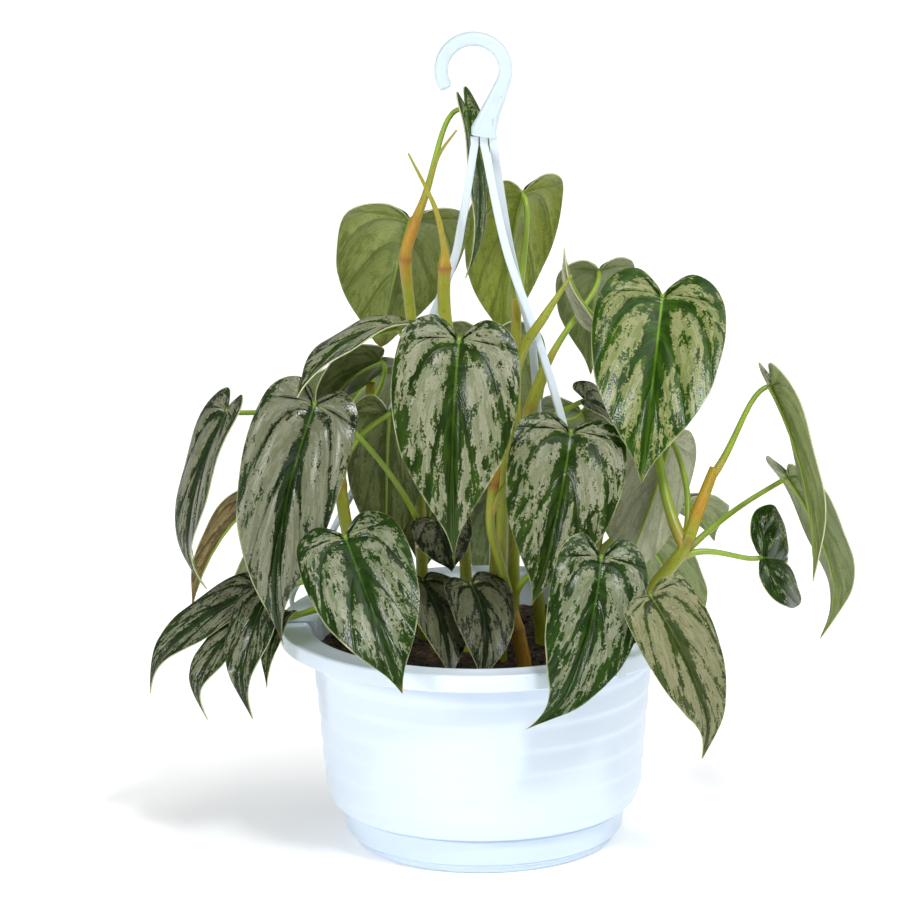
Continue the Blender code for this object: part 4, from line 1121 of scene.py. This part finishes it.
BLOCK_BOTTOM = 318.5
STRAP_WIDTH = 3.5
STRAP_THICKNESS = 2.0
STRAP_SIDES = 16
STRAP_STEPS = 14
CLIP_SEAT_RADIUS = 83.0
CLIP_SEAT_Z = POT_TOP + 2.0
CLIP_POST_Z = POT_TOP + 14.0
CLIP_INNER_RADIUS = 72.2
CLIP_OUTER_RADIUS = 91.9
CLIP_WIDTH = 5.0
CLIP_PLATE = 1.6
CLIP_TOP = 103.9
CLIP_HEIGHT = 3.6
CLIP_ROUNDING = 0.35

strap_plastic = polypropylene("strap_polypropylene", "DBE6EC", "CFDDE7")


def clip_block(low, high, wide, azimuth):
    """One bevelled block of a clip, from (radius, z) low to high, turned round the pot."""
    middle = ((low[0] + high[0]) / 2 * MM, 0.0, (low[1] + high[1]) / 2 * MM)
    bpy.ops.mesh.primitive_cube_add(size=1.0, location=middle)
    block = bpy.context.object
    block.scale = ((high[0] - low[0]) * MM, wide * MM, (high[1] - low[1]) * MM)
    bpy.ops.object.transform_apply()
    block.rotation_euler.z = azimuth - math.pi / 2
    bpy.ops.object.transform_apply()
    bevel = block.modifiers.new("soft edges", "BEVEL")
    bevel.width = CLIP_ROUNDING * MM
    bevel.segments = 2
    bpy.ops.object.modifier_apply(modifier=bevel.name)
    return block


def strap(name, top_x, bends, clip_azimuth):
    """A strap from under the block to its clip; the azimuth is from the front towards +X."""
    azimuth = math.radians(clip_azimuth)
    outward = Vector((math.sin(azimuth), -math.cos(azimuth), 0.0))
    along_rim = Vector((math.cos(azimuth), math.sin(azimuth), 0.0))
    if along_rim.x < 0.0:
        along_rim = -along_rim
    seat = outward * CLIP_SEAT_RADIUS + Vector((0.0, 0.0, CLIP_SEAT_Z))
    post = outward * CLIP_SEAT_RADIUS + Vector((0.0, 0.0, CLIP_POST_Z))
    route = [Vector((top_x, 0.0, BLOCK_BOTTOM - 4.0))] + [Vector(bend) for bend in bends]
    line = [Vector((top_x, 0.0, BLOCK_BOTTOM - 0.3))] + smooth_line(route + [post, seat], STRAP_STEPS)
    ways = [Vector((1.0, 0.0, 0.0)).lerp(along_rim, i / (len(line) - 1)) for i in range(len(line))]

    def section(row, angle):
        flare = 1.0 + 0.9 * math.exp(-((line[row].z - CLIP_SEAT_Z) / 3.0) ** 2)
        across = math.copysign(abs(math.cos(angle)) ** 0.4, math.cos(angle))
        deep = math.copysign(abs(math.sin(angle)) ** 0.4, math.sin(angle))
        return STRAP_WIDTH / 2 * across * flare, STRAP_THICKNESS / 2 * deep * flare

    ribbon = rolled_tube(name.replace("hanger_", ""), line, ways, section, STRAP_SIDES)
    low = (CLIP_INNER_RADIUS, CLIP_TOP - CLIP_HEIGHT)
    bar = clip_block(low, (CLIP_OUTER_RADIUS, CLIP_TOP), CLIP_WIDTH, azimuth)
    low = (CLIP_OUTER_RADIUS - CLIP_PLATE, CLIP_TOP - 11.6)
    outer_leg = clip_block(low, (CLIP_OUTER_RADIUS, CLIP_TOP - 0.1), CLIP_WIDTH - 0.6, azimuth)
    low = (CLIP_INNER_RADIUS + 0.1, CLIP_TOP - 7.6)
    high = (CLIP_INNER_RADIUS + CLIP_PLATE, CLIP_TOP - 0.1)
    inner_leg = clip_block(low, high, CLIP_WIDTH - 0.6, azimuth)
    join_pieces([ribbon, bar, outer_leg, inner_leg])
    dress(ribbon, [strap_plastic], [name])


strap("hanger_strap_left", -1.2, [(-7, 2, 280), (-13, 3, 256), (-37, 4, 199), (-66, 2, 140)], -90.0)
strap("hanger_strap_front", 2.9, [(12, -9, 270), (25, -20, 233), (36, -31, 196), (50, -50, 136)], 41.0)
strap("hanger_strap_back", 7.0, [(13, 17, 270), (18, 28, 243), (24, 40, 211), (28, 68, 138)], 160.0)

# Studio
# A plain pale floor and soft light from large panels, as in a product photograph. The camera looks a
# little down on the pot from far away.

FLOOR_SIZE = 6.0
FLOOR_GLOW = 0.2
WORLD_STRENGTH = 0.32
PANEL_AIM = Vector((0.0, 0.0, 0.15))
PANELS = (
    ("key_panel", (0.55, -1.6, 2.1), 0.35, 28.0),
    ("side_panel", (-1.6, -1.4, 1.0), 0.4, 17.0),
    ("back_panel", (1.8, 0.5, 1.5), 0.8, 6.0),
)
CEILING_POWER = 1.5
CEILING_SPREAD = 60.0
CEILING_TURN = (28.0, 0.0, 75.0)
CAMERA_DISTANCE = 3000.0
CAMERA_ELEVATION = 14.51
CAMERA_ROLL = 0.66
CAMERA_TARGET = (-13.43, 0.0, 177.4)
FRAME_HALF_WIDTH = 198.06

bpy.ops.mesh.primitive_plane_add(size=FLOOR_SIZE)
floor = bpy.context.object
floor.name = "studio_floor"
paper, node, shader = new_material("studio_paper")
place = node("TexCoord")["Object"]
cloud = node("TexNoise", {"Vector": place, "Scale": 3.0, "Detail": 2.0})["Fac"]
tint = node("Mix", {0: cloud, 6: srgb("FBFBFB"), 7: srgb("FFFFFF")}, data_type="RGBA")[2]
set_inputs(shader, {"Base Color": tint, "Roughness": 0.9})
set_inputs(shader, {"Emission Color": srgb("FFFFFF"), "Emission Strength": FLOOR_GLOW})
floor.data.materials.append(paper)

world = bpy.data.worlds.new("studio")
world.use_nodes = True
air = world.node_tree.nodes["Background"].inputs
set_inputs(air, {"Color": srgb("FFFFFF"), "Strength": WORLD_STRENGTH})
bpy.context.scene.world = world
for name, place, size, power in PANELS:
    light = bpy.data.lights.new(name, "AREA")
    light.size = size
    light.energy = power
    panel = bpy.data.objects.new(name, light)
    panel.location = place
    panel.rotation_euler = (PANEL_AIM - Vector(place)).to_track_quat("-Z", "Y").to_euler()
    bpy.context.scene.collection.objects.link(panel)
sky_light = bpy.data.lights.new("ceiling", "SUN")
sky_light.energy = CEILING_POWER
sky_light.angle = math.radians(CEILING_SPREAD)
ceiling = bpy.data.objects.new("ceiling", sky_light)
ceiling.rotation_euler = [math.radians(angle) for angle in CEILING_TURN]
bpy.context.scene.collection.objects.link(ceiling)
bpy.context.scene.view_settings.view_transform = "Standard"

camera_data = bpy.data.cameras.new("camera")
camera_data.angle = 2 * math.atan(FRAME_HALF_WIDTH / CAMERA_DISTANCE)
camera_data.clip_end = 20.0
camera = bpy.data.objects.new("camera", camera_data)
elevation = math.radians(CAMERA_ELEVATION)
back = Vector((0.0, -math.cos(elevation), math.sin(elevation)))
upward = Vector((0.0, math.sin(elevation), math.cos(elevation)))
facing = Matrix((Vector((1.0, 0.0, 0.0)), upward, back)).transposed().to_4x4()
place = (Vector(CAMERA_TARGET) + back * CAMERA_DISTANCE) * MM
roll = Matrix.Rotation(-math.radians(CAMERA_ROLL), 4, "Z")
camera.matrix_world = Matrix.Translation(place) @ facing @ roll
bpy.context.scene.collection.objects.link(camera)
bpy.context.scene.camera = camera
